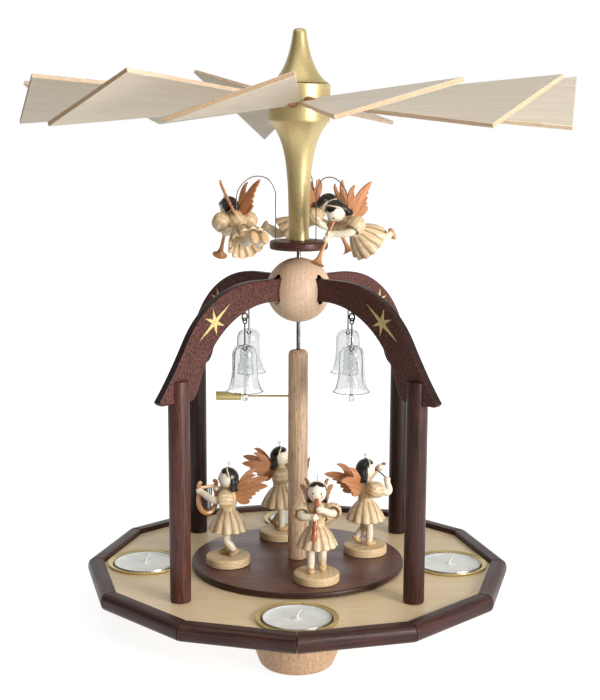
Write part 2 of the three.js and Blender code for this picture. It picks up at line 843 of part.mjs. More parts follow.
// Body, head, hair, sleeves and legs of an angel that faces +X; each leg swings back by an angle in degrees
function figure(swings) {
  const skirt = new THREE.QuadraticBezierCurve(
    point(hemRadius, hipLevel + hemThickness / 2),
    point(skirtSwell, waistLevel - skirtFlare),
    point(waistRadius, waistLevel),
  );
  const jaw = Math.asin(neckRadius / headRadius);
  const headProfile = [];
  for (let i = 1; i <= headSteps; i++) {
    const turn = jaw + (i / headSteps) * (Math.PI - jaw);
    headProfile.push([headRadius * Math.sin(turn), headLevel - headRadius * Math.cos(turn)]);
  }
  const dress = turned([
    [0, hipLevel + hemThickness],
    [hemRadius - hemThickness, hipLevel],
    ...skirt.getPoints(skirtSteps).map((p) => p.toArray()),
    [chestRadius, chestLevel],
    [collarRadius, neckLevel - collarDrop],
    [neckRadius, neckLevel],
    ...headProfile,
  ], roundSmall);
  const shapes = [dress, bead(hairCap, roundRing, [-hairShift, 0, headLevel + hairShift])];
  for (const [side, swing] of [[-1, swings[0]], [1, swings[1]]]) {
    const leg = rod(legRadius, legLength + 3 * hemThickness, roundWire).translate(0, 0, -legLength);
    const shoe = new THREE.BoxGeometry(shoeLength, 2 * legRadius, shoeHeight);
    shoe.translate(shoeToe, 0, -legLength - shoeHeight / 2 + fit);
    for (const shape of [leg, shoe]) {
      shapes.push(shape.rotateY(radians(swing)).translate(0, side * stride, hipLevel));
    }
    shapes.push(bead(sleeveRadius, roundLimb, [0, side * shoulderHalf, shoulderLevel]));
  }
  return shapes;
}

// Arms from the shoulders to a left and a right hand, the right elbow put forward by a reach
function arms(leftHand, rightHand, reach = 0) {
  return [[1, leftHand, 0], [-1, rightHand, reach]].map(([side, hand, forward]) => {
    const shoulder = spot(0, side * shoulderHalf, shoulderLevel);
    const out = Math.max(elbowOut - forward, 0);
    const drop = elbowDrop + forward / 2;
    const elbow = spot(chestRadius + forward, side * (shoulderHalf + out), chestLevel - drop);
    return arm(shoulder, elbow, hand);
  });
}

function wings({ back, out, up }) {
  return [1, -1].map((side) => {
    const root = spot(-wingRootBack, side * wingRootOut, chestLevel + wingRootOut);
    return wingOnBack(spot(-back, side * out, up), root);
  });
}

const hornAim = spot(Math.cos(radians(hornDip)), 0, -Math.sin(radians(hornDip)));
const alongHorn = (distance) => mouthSpot.clone().addScaledVector(hornAim, distance);
const handReach = chestRadius + handsOut;
const chestFront = (left, up) => spot(handReach, left, chestLevel + up);

// Standing angel on its round stand, with its shoes on the stand's top
function standingAngel(instrument, ...hands) {
  const stand = turned([
    [0, 0],
    [standRadius, 0],
    [standRadius, standHeight - standBevel],
    [standRadius - standBevel, standHeight],
    [0, standHeight],
  ], roundMedium);
  const body = [...figure(walking), ...arms(...hands), ...wings(standingSpread), ...instrument];
  for (const shape of body) shape.translate(0, 0, standHeight - fit);
  return join(stand, ...body);
}

// Each instrument with the left and the right hand that hold it, and how far the right elbow reaches forward
const lyreCentre = spot(handReach + 2 * lyreYoke, 0, chestLevel - lyreDrop);
const onLyre = (side) => onRing((side * lyreWidth) / 2, lyreTurn + 90, lyreDrop + elbowDrop).add(lyreCentre);
const violinCentre = spot(violinOut, violinLeft, neckLevel + violinUp);
const violinAim = spot(Math.cos(radians(violinRise)), 0, Math.sin(radians(violinRise)));
const violinNeck = violinCentre.clone().addScaledVector(violinAim, violinHand);
const bowAim = spot(0.32, -0.83, -0.46); // from the tip of the bow to the hand
const bowTip = spot(-bowStick, 0, violinDepth).add(violinCentre);
const onBow = (distance) => bowTip.clone().addScaledVector(bowAim, distance);
const recorderAim = spot(recorderOut, -recorderSide, -1);
const shortHorn = hornLength - hornShorter;
const onShortHorn = (distance) => alongHorn((distance * shortHorn) / hornLength);
const half = armRadius / 2;
const players = {
  violin: [violin(violinCentre), violinNeck, onBow(bowGrip), 2 * chestRadius],
  horn: [horn(mouthSpot, hornAim, shortHorn), onShortHorn(hornLeftHand), onShortHorn(hornRightHand)],
  lyre: [lyre(lyreCentre), onLyre(1), onLyre(-1)],
  recorder: [recorder(mouthSpot, recorderAim), chestFront(half, elbowDrop), chestFront(-half, -armRadius)],
};
for (const [instrument, { degrees, heading }] of Object.entries(places)) {
  const mesh = piece(`angel_${instrument}`, standingAngel(...players[instrument]), 'angel');
  mesh.position.copy(onRing(figureRing, degrees, tableTop + fit));
  mesh.rotation.z = radians(heading);
  rotor.add(mesh);
}

// Carrier disc with sockets for the three hanging wires
const flying = [['left', 195, 118], ['right', -45, 218], ['back', 75, -5]];

function carrierDisc() {
  const sockets = flying.map(([, degrees]) => {
    const at = onRing(hangRing, degrees, carrierTop - hangSocket - fit);
    return rod(hangWire + fit, hangSocket + 3 * fit, roundPin).translate(at.x, at.y, at.z);
  });
  return cut(discWithBore(carrierRadius, carrierBottom, carrierTop, carrierRound, roundLarge), ...sockets);
}
rotor.add(piece('carrier_disc', carrierDisc(), 'stain'));

// Flying angel with a horn, leaning forward about its chest, on the wire that holds its back
function flyingAngel(degrees, heading) {
  const chest = onRing(flyingRing, degrees, carrierTop + flyingRise);
  const shapes = [
    ...figure(flyingKick),
    ...arms(alongHorn(hornLeftHand), alongHorn(hornRightHand)),
    ...wings(flyingSpread),
    ...horn(mouthSpot, hornAim, hornLength),
  ];
  for (const shape of shapes) {
    shape.translate(0, 0, -chestLevel).rotateY(radians(flyingLean)).rotateZ(radians(heading));
    shape.translate(chest.x, chest.y, chest.z);
  }
  const back = spot(-chestRadius / 2, 0, 0).applyAxisAngle(spot(0, 1, 0), radians(flyingLean));
  back.applyAxisAngle(spot(0, 0, 1), radians(heading)).add(chest);
  const crest = onRing(hangRing + hangCrest, degrees, carrierTop + hangRise);
  const wirePath = new THREE.CatmullRomCurve3([
    onRing(hangRing, degrees, carrierTop - hangSocket),
    onRing(hangRing, degrees, carrierTop + hangStraight / 2),
    onRing(hangRing, degrees, carrierTop + hangStraight),
    crest,
    crest.clone().lerp(back, 0.5).add(onRing(hangBow, degrees, hangBow)),
    back,
  ]);
  return join(...shapes, bentWire(wirePath, hangWire, 3 * bendSteps));
}
for (const [side, degrees, heading] of flying) {
  rotor.add(piece(`flying_angel_${side}`, flyingAngel(degrees, heading), 'angel'));
}

// Hub turned in one flowing line, with a blind bore and a ring of peg holes
function fanHub() {
  const flare = new THREE.CubicBezierCurve(
    point(hubNeck, hubBottom),
    point(hubNeck, hubBottom + hubNeckStraight),
    point(hubFlareRadius, hubBottom + hubFlareStart),
    point(hubDrum, drumBottom),
  );
  const profile = [
    [0, hubBoreTop],
    [boreRadius, hubBoreTop],
    [boreRadius, hubBottom],
    ...flare.getPoints(bendSteps + 2).map((p) => p.toArray()),
    [hubDrum, drumTop - fit],
    [hubDrum - fit, drumTop],
    [0, drumTop],
  ];
  const holes = bladePitches.map((_, k) => {
    const hole = rodAlongX(pegRadius + fit, pegInner - fit, 2 * hubDrum, roundSmall);
    return hole.translate(0, 0, pegLevel).rotateZ(radians(fanOffset - 90 + k * bladeStep));
  });
  return cut(solid(turned(profile, roundLarge)), ...holes);
}
rotor.add(piece('fan_hub', fanHub(), 'gold'));

function fanFinial() {
  const low = drumTop + fit;
  const high = low + finialHeight;
  const sweep = new THREE.CubicBezierCurve(
    point(finialLedge, low),
    point(finialHollow, low + finialHollowRise),
    point(finialNeck, low + finialNeckRise),
    point(finialTip, high - finialTipRound),
  );
  const profile = [
    [0, low],
    ...sweep.getPoints(bendSteps).slice(0, -1).map((p) => p.toArray()),
    ...rounded(finialTip, finialTipRound, high, 1),
    [0, high],
  ];
  return solid(turned(profile, roundMedium));
}
rotor.add(piece('fan_finial', fanFinial(), 'gold'));

// Blade and its round peg, lying along +X
function blade() {
  const outline = new THREE.Shape([
    point(bladeRoot, -bladeRootHalf),
    point(bladeTip, -bladeTipHalf),
    point(bladeTip, bladeTipHalf),
    point(bladeRoot, bladeRootHalf),
  ]);
  const peg = rodAlongX(pegRadius, pegInner, bladeRoot + pegGrip, roundSmall);
  return join(board(outline, bladeThickness, 1), peg);
}
bladePitches.forEach((pitch, k) => {
  const mesh = piece(`blade_${String(k + 1).padStart(2, '0')}`, blade(), 'lime');
  mesh.position.z = pegLevel;
  mesh.rotation.x = radians(pitch);
  rotor.add(turnedGroup(fanOffset - 90 + k * bladeStep, mesh));
});

export default pyramid;
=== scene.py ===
# %% [markdown]
# # A wooden Christmas pyramid
# Warm air from four tea lights turns a fan, and the fan turns a table of angels under four glass bells.
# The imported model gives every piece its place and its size. Here each one is made again with the roundings,
# grain and polish of the real piece, and is set exactly where its plain solid stands.

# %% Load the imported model
import math

import bpy
from mathutils import Matrix, Vector


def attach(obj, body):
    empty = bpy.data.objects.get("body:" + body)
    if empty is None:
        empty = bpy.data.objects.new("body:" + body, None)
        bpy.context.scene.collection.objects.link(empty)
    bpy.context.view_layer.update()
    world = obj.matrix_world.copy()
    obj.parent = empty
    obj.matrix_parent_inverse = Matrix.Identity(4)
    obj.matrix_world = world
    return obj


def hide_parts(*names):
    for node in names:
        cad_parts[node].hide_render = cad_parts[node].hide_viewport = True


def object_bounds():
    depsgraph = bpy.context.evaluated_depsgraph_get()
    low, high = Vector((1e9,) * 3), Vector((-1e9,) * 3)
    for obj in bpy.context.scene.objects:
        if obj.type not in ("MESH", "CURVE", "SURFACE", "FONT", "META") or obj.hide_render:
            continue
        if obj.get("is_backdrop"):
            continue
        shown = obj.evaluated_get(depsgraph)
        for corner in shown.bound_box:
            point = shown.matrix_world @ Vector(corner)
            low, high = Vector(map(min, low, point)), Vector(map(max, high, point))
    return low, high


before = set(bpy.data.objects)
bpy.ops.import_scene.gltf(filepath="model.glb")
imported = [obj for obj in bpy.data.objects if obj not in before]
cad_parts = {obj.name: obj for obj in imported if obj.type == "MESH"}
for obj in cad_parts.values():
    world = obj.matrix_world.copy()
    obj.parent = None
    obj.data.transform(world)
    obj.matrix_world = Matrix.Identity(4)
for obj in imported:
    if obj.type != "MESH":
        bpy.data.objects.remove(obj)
cad_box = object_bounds()
print("nodes:", len(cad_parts), "box in mm:", [round(1000 * x) for corner in cad_box for x in corner])

# %% [markdown]
# ## Camera
# The photograph looks slightly down from the height of the fan, from the side of one corner of the base.
# A long lens keeps the upright posts nearly parallel. The camera aims at a point on the shaft, and a small
# roll takes up the tilt of the picture.

# %% Camera
def aim(thing, place, target):
    """Put a lamp or a camera at a place and point it at a target."""
    thing.location = place
    thing.rotation_euler = (Vector(target) - Vector(place)).to_track_quat("-Z", "Y").to_euler()


CAMERA_PLACE = (0.001, -0.785, 0.290)
CAMERA_TARGET = (0.001, 0, 0.157)
CAMERA_LENS = 69.1
CAMERA_ROLL = 0.25

bpy.ops.object.select_all(action="DESELECT")
bpy.ops.object.camera_add()
camera = bpy.context.object
camera.data.lens = CAMERA_LENS
camera.data.sensor_width = 36
aim(camera, CAMERA_PLACE, CAMERA_TARGET)
camera.rotation_euler.rotate_axis("Z", math.radians(CAMERA_ROLL))
bpy.context.scene.camera = camera
print("camera at", [round(x, 3) for x in camera.location])

# %% [markdown]
# ## Lamps
# A large soft lamp stands at the front right, so the right side of every post is bright and the arch on the
# front left shows its face. A wide, weaker lamp above lights the board. Both are area lamps, because a
# studio's lamps are broad and their shadows have soft edges.

# %% Lamps
LAMP_TARGET = (0, 0, 0.16)
bpy.context.scene.view_settings.view_transform = "Standard"


def add_lamp(name, place, size, watts):
    bpy.ops.object.light_add(type="AREA")
    lamp = bpy.context.object
    lamp.name = name
    lamp.data.size = size
    lamp.data.energy = watts
    aim(lamp, place, LAMP_TARGET)


add_lamp("key_lamp", (1.05, -1.0, 0.42), 0.55, 22)
add_lamp("top_lamp", (-0.1, -0.4, 1.5), 1.5, 12.5)

# %% [markdown]
# ## Sky
# The room in front of the object is dim, as a studio is: matt and polished surfaces find most of their light
# on the right and behind, and polish finds only a faint glow straight ahead, so dark wood stays deep on its
# left side. The camera sees white all round. Rays through glass see white too, with grey walls on the left
# and the right that draw the edges of the bells. Walls could be built for this, but a world of nodes can show
# each kind of ray its own brightness, and needs no walls.

# %% Sky
def add_node(tree, kind, inputs=None, **settings):
    """Add a node, set its options, and link or set its inputs by name or number."""
    made = tree.nodes.new(kind)
    for name, value in settings.items():
        setattr(made, name, value)
    for name, value in (inputs or {}).items():
        if isinstance(value, bpy.types.NodeSocket):
            tree.links.new(value, made.inputs[name])
        else:
            made.inputs[name].default_value = value
    return made


def calc(tree, operation, first, second=0.0):
    return add_node(tree, "ShaderNodeMath", {0: first, 1: second}, operation=operation).outputs[0]


def ramp(tree, value, low, high, start=0.0, end=1.0):
    levels = {"Value": value, "From Min": low, "From Max": high, "To Min": start, "To Max": end}
    return add_node(tree, "ShaderNodeMapRange", levels).outputs[0]


def choose(tree, share, first, second):
    """The first value where the share is zero, the second where it is one."""
    return add_node(tree, "ShaderNodeMix", {0: share, 2: first, 3: second}).outputs[0]


def make_sky():
    sky = bpy.data.worlds.new("studio_sky")
    sky.use_nodes = True
    tree = sky.node_tree
    tree.nodes.clear()
    incoming = add_node(tree, "ShaderNodeNewGeometry").outputs["Incoming"]
    way = add_node(tree, "ShaderNodeSeparateXYZ", {0: incoming}).outputs
    right = calc(tree, "MULTIPLY", way["X"], -1)
    back = calc(tree, "MULTIPLY", way["Y"], -1)
    up = calc(tree, "MULTIPLY", way["Z"], -1)
    ray = add_node(tree, "ShaderNodeLightPath").outputs
    fill = calc(tree, "ADD", ramp(tree, right, -0.6, 1.0, 0.05, 0.45), ramp(tree, back, 0.2, 1.0, 0.0, 0.6))
    low_sky = ramp(tree, up, 0.4, 0.75, 1.0, 0.3)
    polish = calc(tree, "MULTIPLY", ramp(tree, back, 0.1, 0.6, 0.06, 0.9), low_sky)
    polish = calc(tree, "MAXIMUM", polish, ramp(tree, right, 0.4, 0.9, 0.06, 0.6))
    polish = calc(tree, "MAXIMUM", polish, ramp(tree, back, -0.95, -0.6, 0.3, 0.06))
    walls = ramp(tree, calc(tree, "ABSOLUTE", right), 0.5, 0.9, 1.0, 0.45)
    level = choose(tree, ray["Is Glossy Ray"], fill, polish)
    level = choose(tree, ray["Is Transmission Ray"], level, walls)
    level = choose(tree, ray["Is Camera Ray"], level, 1.0)
    white = add_node(tree, "ShaderNodeBackground", {"Color": (1, 1, 1, 1), "Strength": level})
    add_node(tree, "ShaderNodeOutputWorld", {"Surface": white.outputs[0]})
    return sky


bpy.context.scene.world = make_sky()
print("sky nodes:", len(bpy.context.scene.world.node_tree.nodes))

# %% [markdown]
# ## Floor
# The floor is white paper, and its light ends a little way in front and to the left. It adds white of its
# own, so that the camera sees it white and still finds a little of the shadow on it.

# %% Floor
def make_paper():
    paper = bpy.data.materials.new("white_paper")
    paper.use_nodes = True
    tree = paper.node_tree
    tree.nodes.clear()
    where = add_node(tree, "ShaderNodeNewGeometry").outputs["Position"]
    across, front = add_node(tree, "ShaderNodeSeparateXYZ", {0: where}).outputs[:2]
    away = add_node(tree, "ShaderNodeVectorMath", {0: where}, operation="LENGTH").outputs["Value"]
    ray = add_node(tree, "ShaderNodeLightPath").outputs
    near = ramp(tree, front, -0.7, -0.35, 0.12, 1.0)
    near = calc(tree, "MAXIMUM", near, ramp(tree, across, 0.1, 0.4, 0.12, 1.0))
    lit = calc(tree, "MULTIPLY", near, ramp(tree, across, -0.7, -0.3, 0.3, 1.0))
    lit = calc(tree, "MAXIMUM", lit, ray["Is Camera Ray"])
    matt = add_node(tree, "ShaderNodeBsdfDiffuse", {"Color": calc(tree, "MULTIPLY", lit, 0.85)})
    white = calc(tree, "MULTIPLY", lit, ramp(tree, away, 0.2, 0.8, 1.25, 1.5))
    glow = add_node(tree, "ShaderNodeEmission", {"Strength": white})
    direct = calc(tree, "MAXIMUM", ray["Is Camera Ray"], ray["Is Glossy Ray"])
    direct = calc(tree, "MAXIMUM", direct, ray["Is Transmission Ray"])
    mixed = add_node(tree, "ShaderNodeMixShader", {0: choose(tree, direct, 0.27, 0.7)})
    tree.links.new(matt.outputs[0], mixed.inputs[1])
    tree.links.new(glow.outputs[0], mixed.inputs[2])
    add_node(tree, "ShaderNodeOutputMaterial", {"Surface": mixed.outputs[0]})
    return paper


bpy.ops.mesh.primitive_plane_add(size=12)
floor = bpy.context.object
floor.name = "studio_floor"
floor.data.materials.append(make_paper())
floor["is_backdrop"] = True
print("floor material nodes:", len(floor.active_material.node_tree.nodes))

# %% [markdown]
# ## Wood
# All the woods share one pattern: growth rings round the fibre, fine streaks along it and short dark flecks.
# A shader group makes it once, and each wood gives it two colours and its own ring width. Every piece keeps
# its place on the bench, in millimetres with the fibre along Z, in an attribute named grain, so the pattern
# follows the piece wherever it is set.

# %% Wood pattern
def paint(code):
    """A colour written as six hexadecimal digits, made linear for the shaders."""
    shares = [int(code[i:i + 2], 16) / 255 for i in (0, 2, 4)]
    linear = [s / 12.92 if s <= 0.04045 else ((s + 0.055) / 1.055) ** 2.4 for s in shares]
    return (*linear, 1)


def mix_colours(tree, share, first, second):
    return add_node(tree, "ShaderNodeMix", {0: share, 6: first, 7: second}, data_type="RGBA").outputs[2]


def stretched_noise(tree, vector, along, scale, detail=2.0):
    """Noise drawn out along the fibre: along is how much finer than life it is measured there."""
    drawn = add_node(tree, "ShaderNodeVectorMath", {0: vector, 1: (1, 1, along)}, operation="MULTIPLY")
    settings = {"Vector": drawn.outputs[0], "Scale": scale, "Detail": detail}
    return add_node(tree, "ShaderNodeTexNoise", settings).outputs[0]


def make_wood_figure():
    tree = bpy.data.node_groups.new("wood_figure", "ShaderNodeTree")
    wanted = {"Vector": "Vector", "Light": "Color", "Dark": "Color", "Ring Width": "Float"}
    wanted.update({"Ring Share": "Float", "Streak Share": "Float", "Fleck Share": "Float"})
    for name, kind in wanted.items():
        tree.interface.new_socket(name, in_out="INPUT", socket_type="NodeSocket" + kind)
    for name, kind in {"Colour": "Color", "Height": "Float", "Polish": "Float"}.items():
        tree.interface.new_socket(name, in_out="OUTPUT", socket_type="NodeSocket" + kind)
    given = add_node(tree, "NodeGroupInput").outputs
    wobble = stretched_noise(tree, given["Vector"], 0.2, 0.09)
    streak = stretched_noise(tree, given["Vector"], 0.03, 1.6, 3.0)
    fleck = ramp(tree, stretched_noise(tree, given["Vector"], 0.16, 1.3), 0.6, 0.68)
    pith = add_node(tree, "ShaderNodeVectorMath", {0: given["Vector"], 1: (23, 9, 0)}, operation="ADD")
    inputs = {0: pith.outputs[0], 1: (1, 1, 0.12)}
    drawn = add_node(tree, "ShaderNodeVectorMath", inputs, operation="MULTIPLY")
    moved = add_node(tree, "ShaderNodeVectorMath", {0: drawn.outputs[0], 1: wobble}, operation="ADD")
    scale = calc(tree, "DIVIDE", 0.314, given["Ring Width"])
    settings = {"Vector": moved.outputs[0], "Scale": scale, "Distortion": 1.5, "Detail": 2.0}
    rings = add_node(tree, "ShaderNodeTexWave", settings, wave_type="RINGS", rings_direction="Z",
                     wave_profile="SAW").outputs["Fac"]
    ring_part = calc(tree, "MULTIPLY", rings, given["Ring Share"])
    streak_part = calc(tree, "MULTIPLY", ramp(tree, streak, 0.38, 0.62), given["Streak Share"])
    share = calc(tree, "ADD", ring_part, streak_part)
    colour = mix_colours(tree, share, given["Light"], given["Dark"])
    fleck_part = calc(tree, "MULTIPLY", fleck, given["Fleck Share"])
    deep = mix_colours(tree, 0.55, given["Dark"], (0.02, 0.01, 0.005, 1))
    spotted = mix_colours(tree, fleck_part, colour, deep)
    height = calc(tree, "SUBTRACT", calc(tree, "MULTIPLY", streak, 0.5), fleck_part)
    add_node(tree, "NodeGroupOutput", {"Colour": spotted, "Height": height, "Polish": wobble})
    return tree


wood_figure = make_wood_figure()
print("wood pattern nodes:", len(wood_figure.nodes))

# %% [markdown]
# ## Finishes
# Each finish sets the shader's steady numbers on its own sockets and lets the pattern drive colour,
# roughness and a slight relief. The stained wood is satin, the angels are waxed, the fan is left bare.

# %% Woods
WOOD_RELIEF = 0.0002


def new_finish(name, **steady):
    """A material with its steady numbers on the shader, and the tree and shader to link a pattern to."""
    finish = bpy.data.materials.new(name)
    finish.use_nodes = True
    shader = finish.node_tree.nodes["Principled BSDF"]
    for socket, value in steady.items():
        shader.inputs[socket.replace("_", " ").title().replace("Ior", "IOR")].default_value = value
    return finish, finish.node_tree, shader


def raise_relief(tree, shader, height, depth):
    """Let a pattern stand up from the surface, by a depth in metres."""
    bump = add_node(tree, "ShaderNodeBump", {"Height": height, "Strength": 0.5, "Distance": depth})
    tree.links.new(bump.outputs[0], shader.inputs["Normal"])


def bench_place(tree, attribute="grain"):
    return add_node(tree, "ShaderNodeAttribute", attribute_name=attribute).outputs["Vector"]


def board_place(tree):
    """Millimetres on a piece that lies flat in the frame, with the fibre along X."""
    where = add_node(tree, "ShaderNodeTexCoord").outputs["Object"]
    settings = {"Vector": where, "Rotation": (0, math.radians(90), 0), "Scale": (1000, 1000, 1000)}
    return add_node(tree, "ShaderNodeMapping", settings).outputs[0]


def wood(name, light, dark, rings, streaks, flecks, rough, place=bench_place, **steady):
    """A wood from its two tones, its rings as (width in mm, share), its streaks, flecks and roughness."""
    finish, tree, shader = new_finish(name, **steady)
    inputs = {"Vector": place(tree), "Light": paint(light), "Dark": paint(dark), "Streak Share": streaks}
    inputs.update({"Ring Width": rings[0], "Ring Share": rings[1], "Fleck Share": flecks})
    figure = add_node(tree, "ShaderNodeGroup", inputs, node_tree=wood_figure)
    tree.links.new(figure.outputs["Colour"], shader.inputs["Base Color"])
    tree.links.new(ramp(tree, figure.outputs["Polish"], 0.3, 0.7, rough - 0.07, rough + 0.07),
                   shader.inputs["Roughness"])
    raise_relief(tree, shader, figure.outputs["Height"], WOOD_RELIEF)
    return finish


dark_stain = wood("dark_stain", "643a30", "210f0b", (2.6, 0.06), 0.75, 0.6, 0.38, specular_ior_level=0.35)
# A deeper stain: the rim's own colour, and painted shade on the front-right post and on the table's rim.
deep_stain_and_shade = wood("deep_stain_and_shade", "4a2820", "190b08", (2.6, 0.06), 0.75, 0.6, 0.38, specular_ior_level=0.35)
# The darkest stain is painted shade, on the back posts and on the sawn edges of the arches.
painted_shade_stain = wood("painted_shade_stain", "331a15", "100706", (2.6, 0.06), 0.75, 0.6, 0.38, specular_ior_level=0.3)
arch_stain = wood("arch_stain", "6c4037", "22100d", (2.6, 0.0), 0.85, 0.65, 0.42, specular_ior_level=0.3)
# A lighter stain for eased edges: partly rubbed thin, partly a painted highlight.
rubbed_edge_and_highlight = wood("rubbed_edge_and_highlight", "85604f", "4a2a20", (2.6, 0.1), 0.6, 0.3, 0.4)
table_stain = wood("table_stain", "704a3f", "472a22", (7.0, 0.2), 0.55, 0.35, 0.33)
beech = wood("beech", "c9a784", "a67c58", (4.2, 0.2), 0.55, 0.6, 0.5)
ball_beech = wood("ball_beech", "e3c6aa", "cba582", (3.0, 0.3), 0.45, 0.25, 0.5)
column_beech = wood("column_beech", "e6c8a8", "b48b66", (3.4, 0.15), 0.8, 0.7, 0.5)
maple = wood("maple", "e6d0a8", "d6b98d", (9.0, 0.3), 0.35, 0.0, 0.42, board_place, coat_weight=0.15)
limewood = wood("limewood", "dbd0be", "c6b69d", (5.0, 0.2), 0.4, 0.0, 0.6)
lime_edge = wood("lime_edge", "ecd3b6", "d2ab84", (2.0, 0.3), 0.5, 0.0, 0.6)
lime_end = wood("lime_end", "dcbf9c", "c0966a", (1.2, 0.3), 0.5, 0.2, 0.65)
peg_wood = wood("peg_wood", "b4774f", "835031", (1.6, 0.4), 0.4, 0.3, 0.5)
angel_wood = wood("angel_wood", "ead5af", "b48e5c", (2.4, 0.6), 0.25, 0.0, 0.32, coat_weight=0.4,
                  coat_roughness=0.12)
angel_skin = wood("angel_skin", "f1e6d0", "dcc5a0", (3.0, 0.3), 0.25, 0.0, 0.36, coat_weight=0.3)
shoe_wood = wood("shoe_wood", "d9b88c", "b88d5e", (2.0, 0.4), 0.3, 0.0, 0.4)
stand_wood = wood("stand_wood", "e6cfa6", "c39c68", (1.8, 0.5), 0.35, 0.2, 0.5)
wing_veneer = wood("wing_veneer", "d69a6b", "a0603a", (2.2, 0.45), 0.5, 0.2, 0.45)
horn_wood = wood("horn_wood", "cf9765", "a0643a", (1.4, 0.4), 0.4, 0.0, 0.38, coat_weight=0.3)
recorder_wood = wood("recorder_wood", "b9683f", "8a4427", (1.2, 0.4), 0.4, 0.0, 0.35, coat_weight=0.4)
print("materials that use the wood pattern:", wood_figure.users)

# %% [markdown]
# ## Metal, glass, wax and paint
# The lacquer is a satin gold with very fine grain from the spray. The brass is pressed sheet, the wire is
# dull steel. The glass keeps plain numbers but for its colour, a patchy grey that is painted shade, and only
# its surface is a little uneven, as blown glass is. The wax is milky and slightly pitted.

# %% Metal, glass, wax and paint
def cloudy(tree, scale, detail=3.0):
    where = add_node(tree, "ShaderNodeTexCoord").outputs["Object"]
    settings = {"Vector": where, "Scale": scale, "Detail": detail}
    return add_node(tree, "ShaderNodeTexNoise", settings).outputs[0]


def toned(name, light, dark, rough, spots, relief, **steady):
    """A finish whose colour and roughness drift between two tones in spots of so many per metre."""
    finish, tree, shader = new_finish(name, **steady)
    drift = cloudy(tree, spots)
    tree.links.new(mix_colours(tree, ramp(tree, drift, 0.3, 0.7), paint(light), paint(dark)),
                   shader.inputs["Base Color"])
    tree.links.new(ramp(tree, cloudy(tree, 3 * spots), 0.3, 0.7, rough - 0.06, rough + 0.06),
                   shader.inputs["Roughness"])
    raise_relief(tree, shader, cloudy(tree, 6 * spots), relief)
    return finish


gold_lacquer = toned("gold_lacquer", "dac794", "ccb880", 0.38, 900, 0.00001, metallic=0.6)
# The finial's gold is a darker copy of the hub's, as painted shade.
finial_gold_shaded = toned("finial_gold_shaded", "cbb886", "bca972", 0.42, 900, 0.00001, metallic=0.6)
brass = toned("brass", "dfcd8e", "cdb876", 0.3, 60, 0.000004, metallic=0.75)
star_gold = toned("star_gold", "ecd99a", "d8c27e", 0.4, 500, 0.00001, metallic=0.5)
steel = toned("steel", "8c8a88", "66625f", 0.3, 300, 0.00002, metallic=1.0)
dark_wire = toned("dark_wire", "4a4643", "2c2927", 0.35, 400, 0.00002, metallic=0.9)
tin = toned("tin", "c9cacb", "a9abac", 0.3, 300, 0.00003, metallic=1.0)
wax = toned("wax", "f2f0ec", "e6e2da", 0.4, 180, 0.00008, subsurface_weight=0.15)
wick_cotton = toned("wick_cotton", "f4f1ea", "d8d2c6", 0.8, 900, 0.0002)
hair_paint = toned("hair_paint", "1e1613", "0d0908", 0.3, 500, 0.0002, coat_weight=0.4)
ribbon_paint = toned("ribbon_paint", "efe4cc", "ddcaa6", 0.4, 400, 0.00005)
face_paint = toned("face_paint", "15100e", "2a1d18", 0.3, 600, 0.00002)
# Near black, for painted shade inside the cut slots and holes of the ball.
painted_recess_shade = toned("painted_recess_shade", "1a100b", "0c0705", 0.8, 500, 0.0001)

glass, glass_tree, glass_shader = new_finish("glass", metallic=0.0, roughness=0.02, ior=1.48,
                                             transmission_weight=1.0)
# The grey of the clear glass is painted shade.
glass_grey_shade = mix_colours(glass_tree, cloudy(glass_tree, 120), (0.81, 0.82, 0.82, 1), (0.89, 0.90, 0.90, 1))
glass_tree.links.new(glass_grey_shade, glass_shader.inputs["Base Color"])
raise_relief(glass_tree, glass_shader, cloudy(glass_tree, 160), 0.0002)
print("finishes:", len(bpy.data.materials))

# %% [markdown]
# ## The bench: turning and sawing
# Pieces are shaped on a bench where one unit is a millimetre, and are then shrunk to metres and put in
# place. A line is drawn by welding a plane to one vertex and extruding it from point to point. Spun about
# Z, such a line is a turned piece. Filled and extruded, it is a sawn board. So one kind of line serves the
# lathe and the saw.

# %% Turning and sawing
def only(piece):
    """Select one piece alone."""
    bpy.ops.object.select_all(action="DESELECT")
    piece.select_set(True)
    bpy.context.view_layer.objects.active = piece


def draw(name, points):
    """Draw edges through points, and stay in edit mode with all of them selected."""
    bpy.ops.object.select_all(action="DESELECT")
    bpy.ops.mesh.primitive_plane_add(size=1)
    piece = bpy.context.object
    piece.name = name
    bpy.ops.object.mode_set(mode="EDIT")
    bpy.ops.mesh.merge(type="CENTER")
    bpy.ops.transform.translate(value=points[0])
    for before, after in zip(points, points[1:]):
        step = Vector(after) - Vector(before)
        bpy.ops.mesh.extrude_vertices_move(TRANSFORM_OT_translate={"value": step})
    bpy.ops.mesh.select_all(action="SELECT")
    return piece


def smooth(piece, degrees=35):
    only(piece)
    bpy.ops.object.shade_smooth_by_angle(angle=math.radians(degrees))


def close_up(piece):
    """Weld what meets, point all faces outwards and leave edit mode."""
    bpy.ops.mesh.select_all(action="SELECT")
    bpy.ops.mesh.remove_doubles(threshold=0.002)
    bpy.ops.mesh.normals_make_consistent(inside=False)
    bpy.ops.object.mode_set(mode="OBJECT")
    smooth(piece)
    return piece


def turn(name, profile, steps=48):
    """Turn a profile of (radius, height) pairs about Z, as on a lathe."""
    piece = draw(name, [(radius, 0, height) for radius, height in profile])
    bpy.ops.mesh.spin(steps=steps, angle=2 * math.pi, center=(0, 0, 0), axis=(0, 0, 1))
    return close_up(piece)


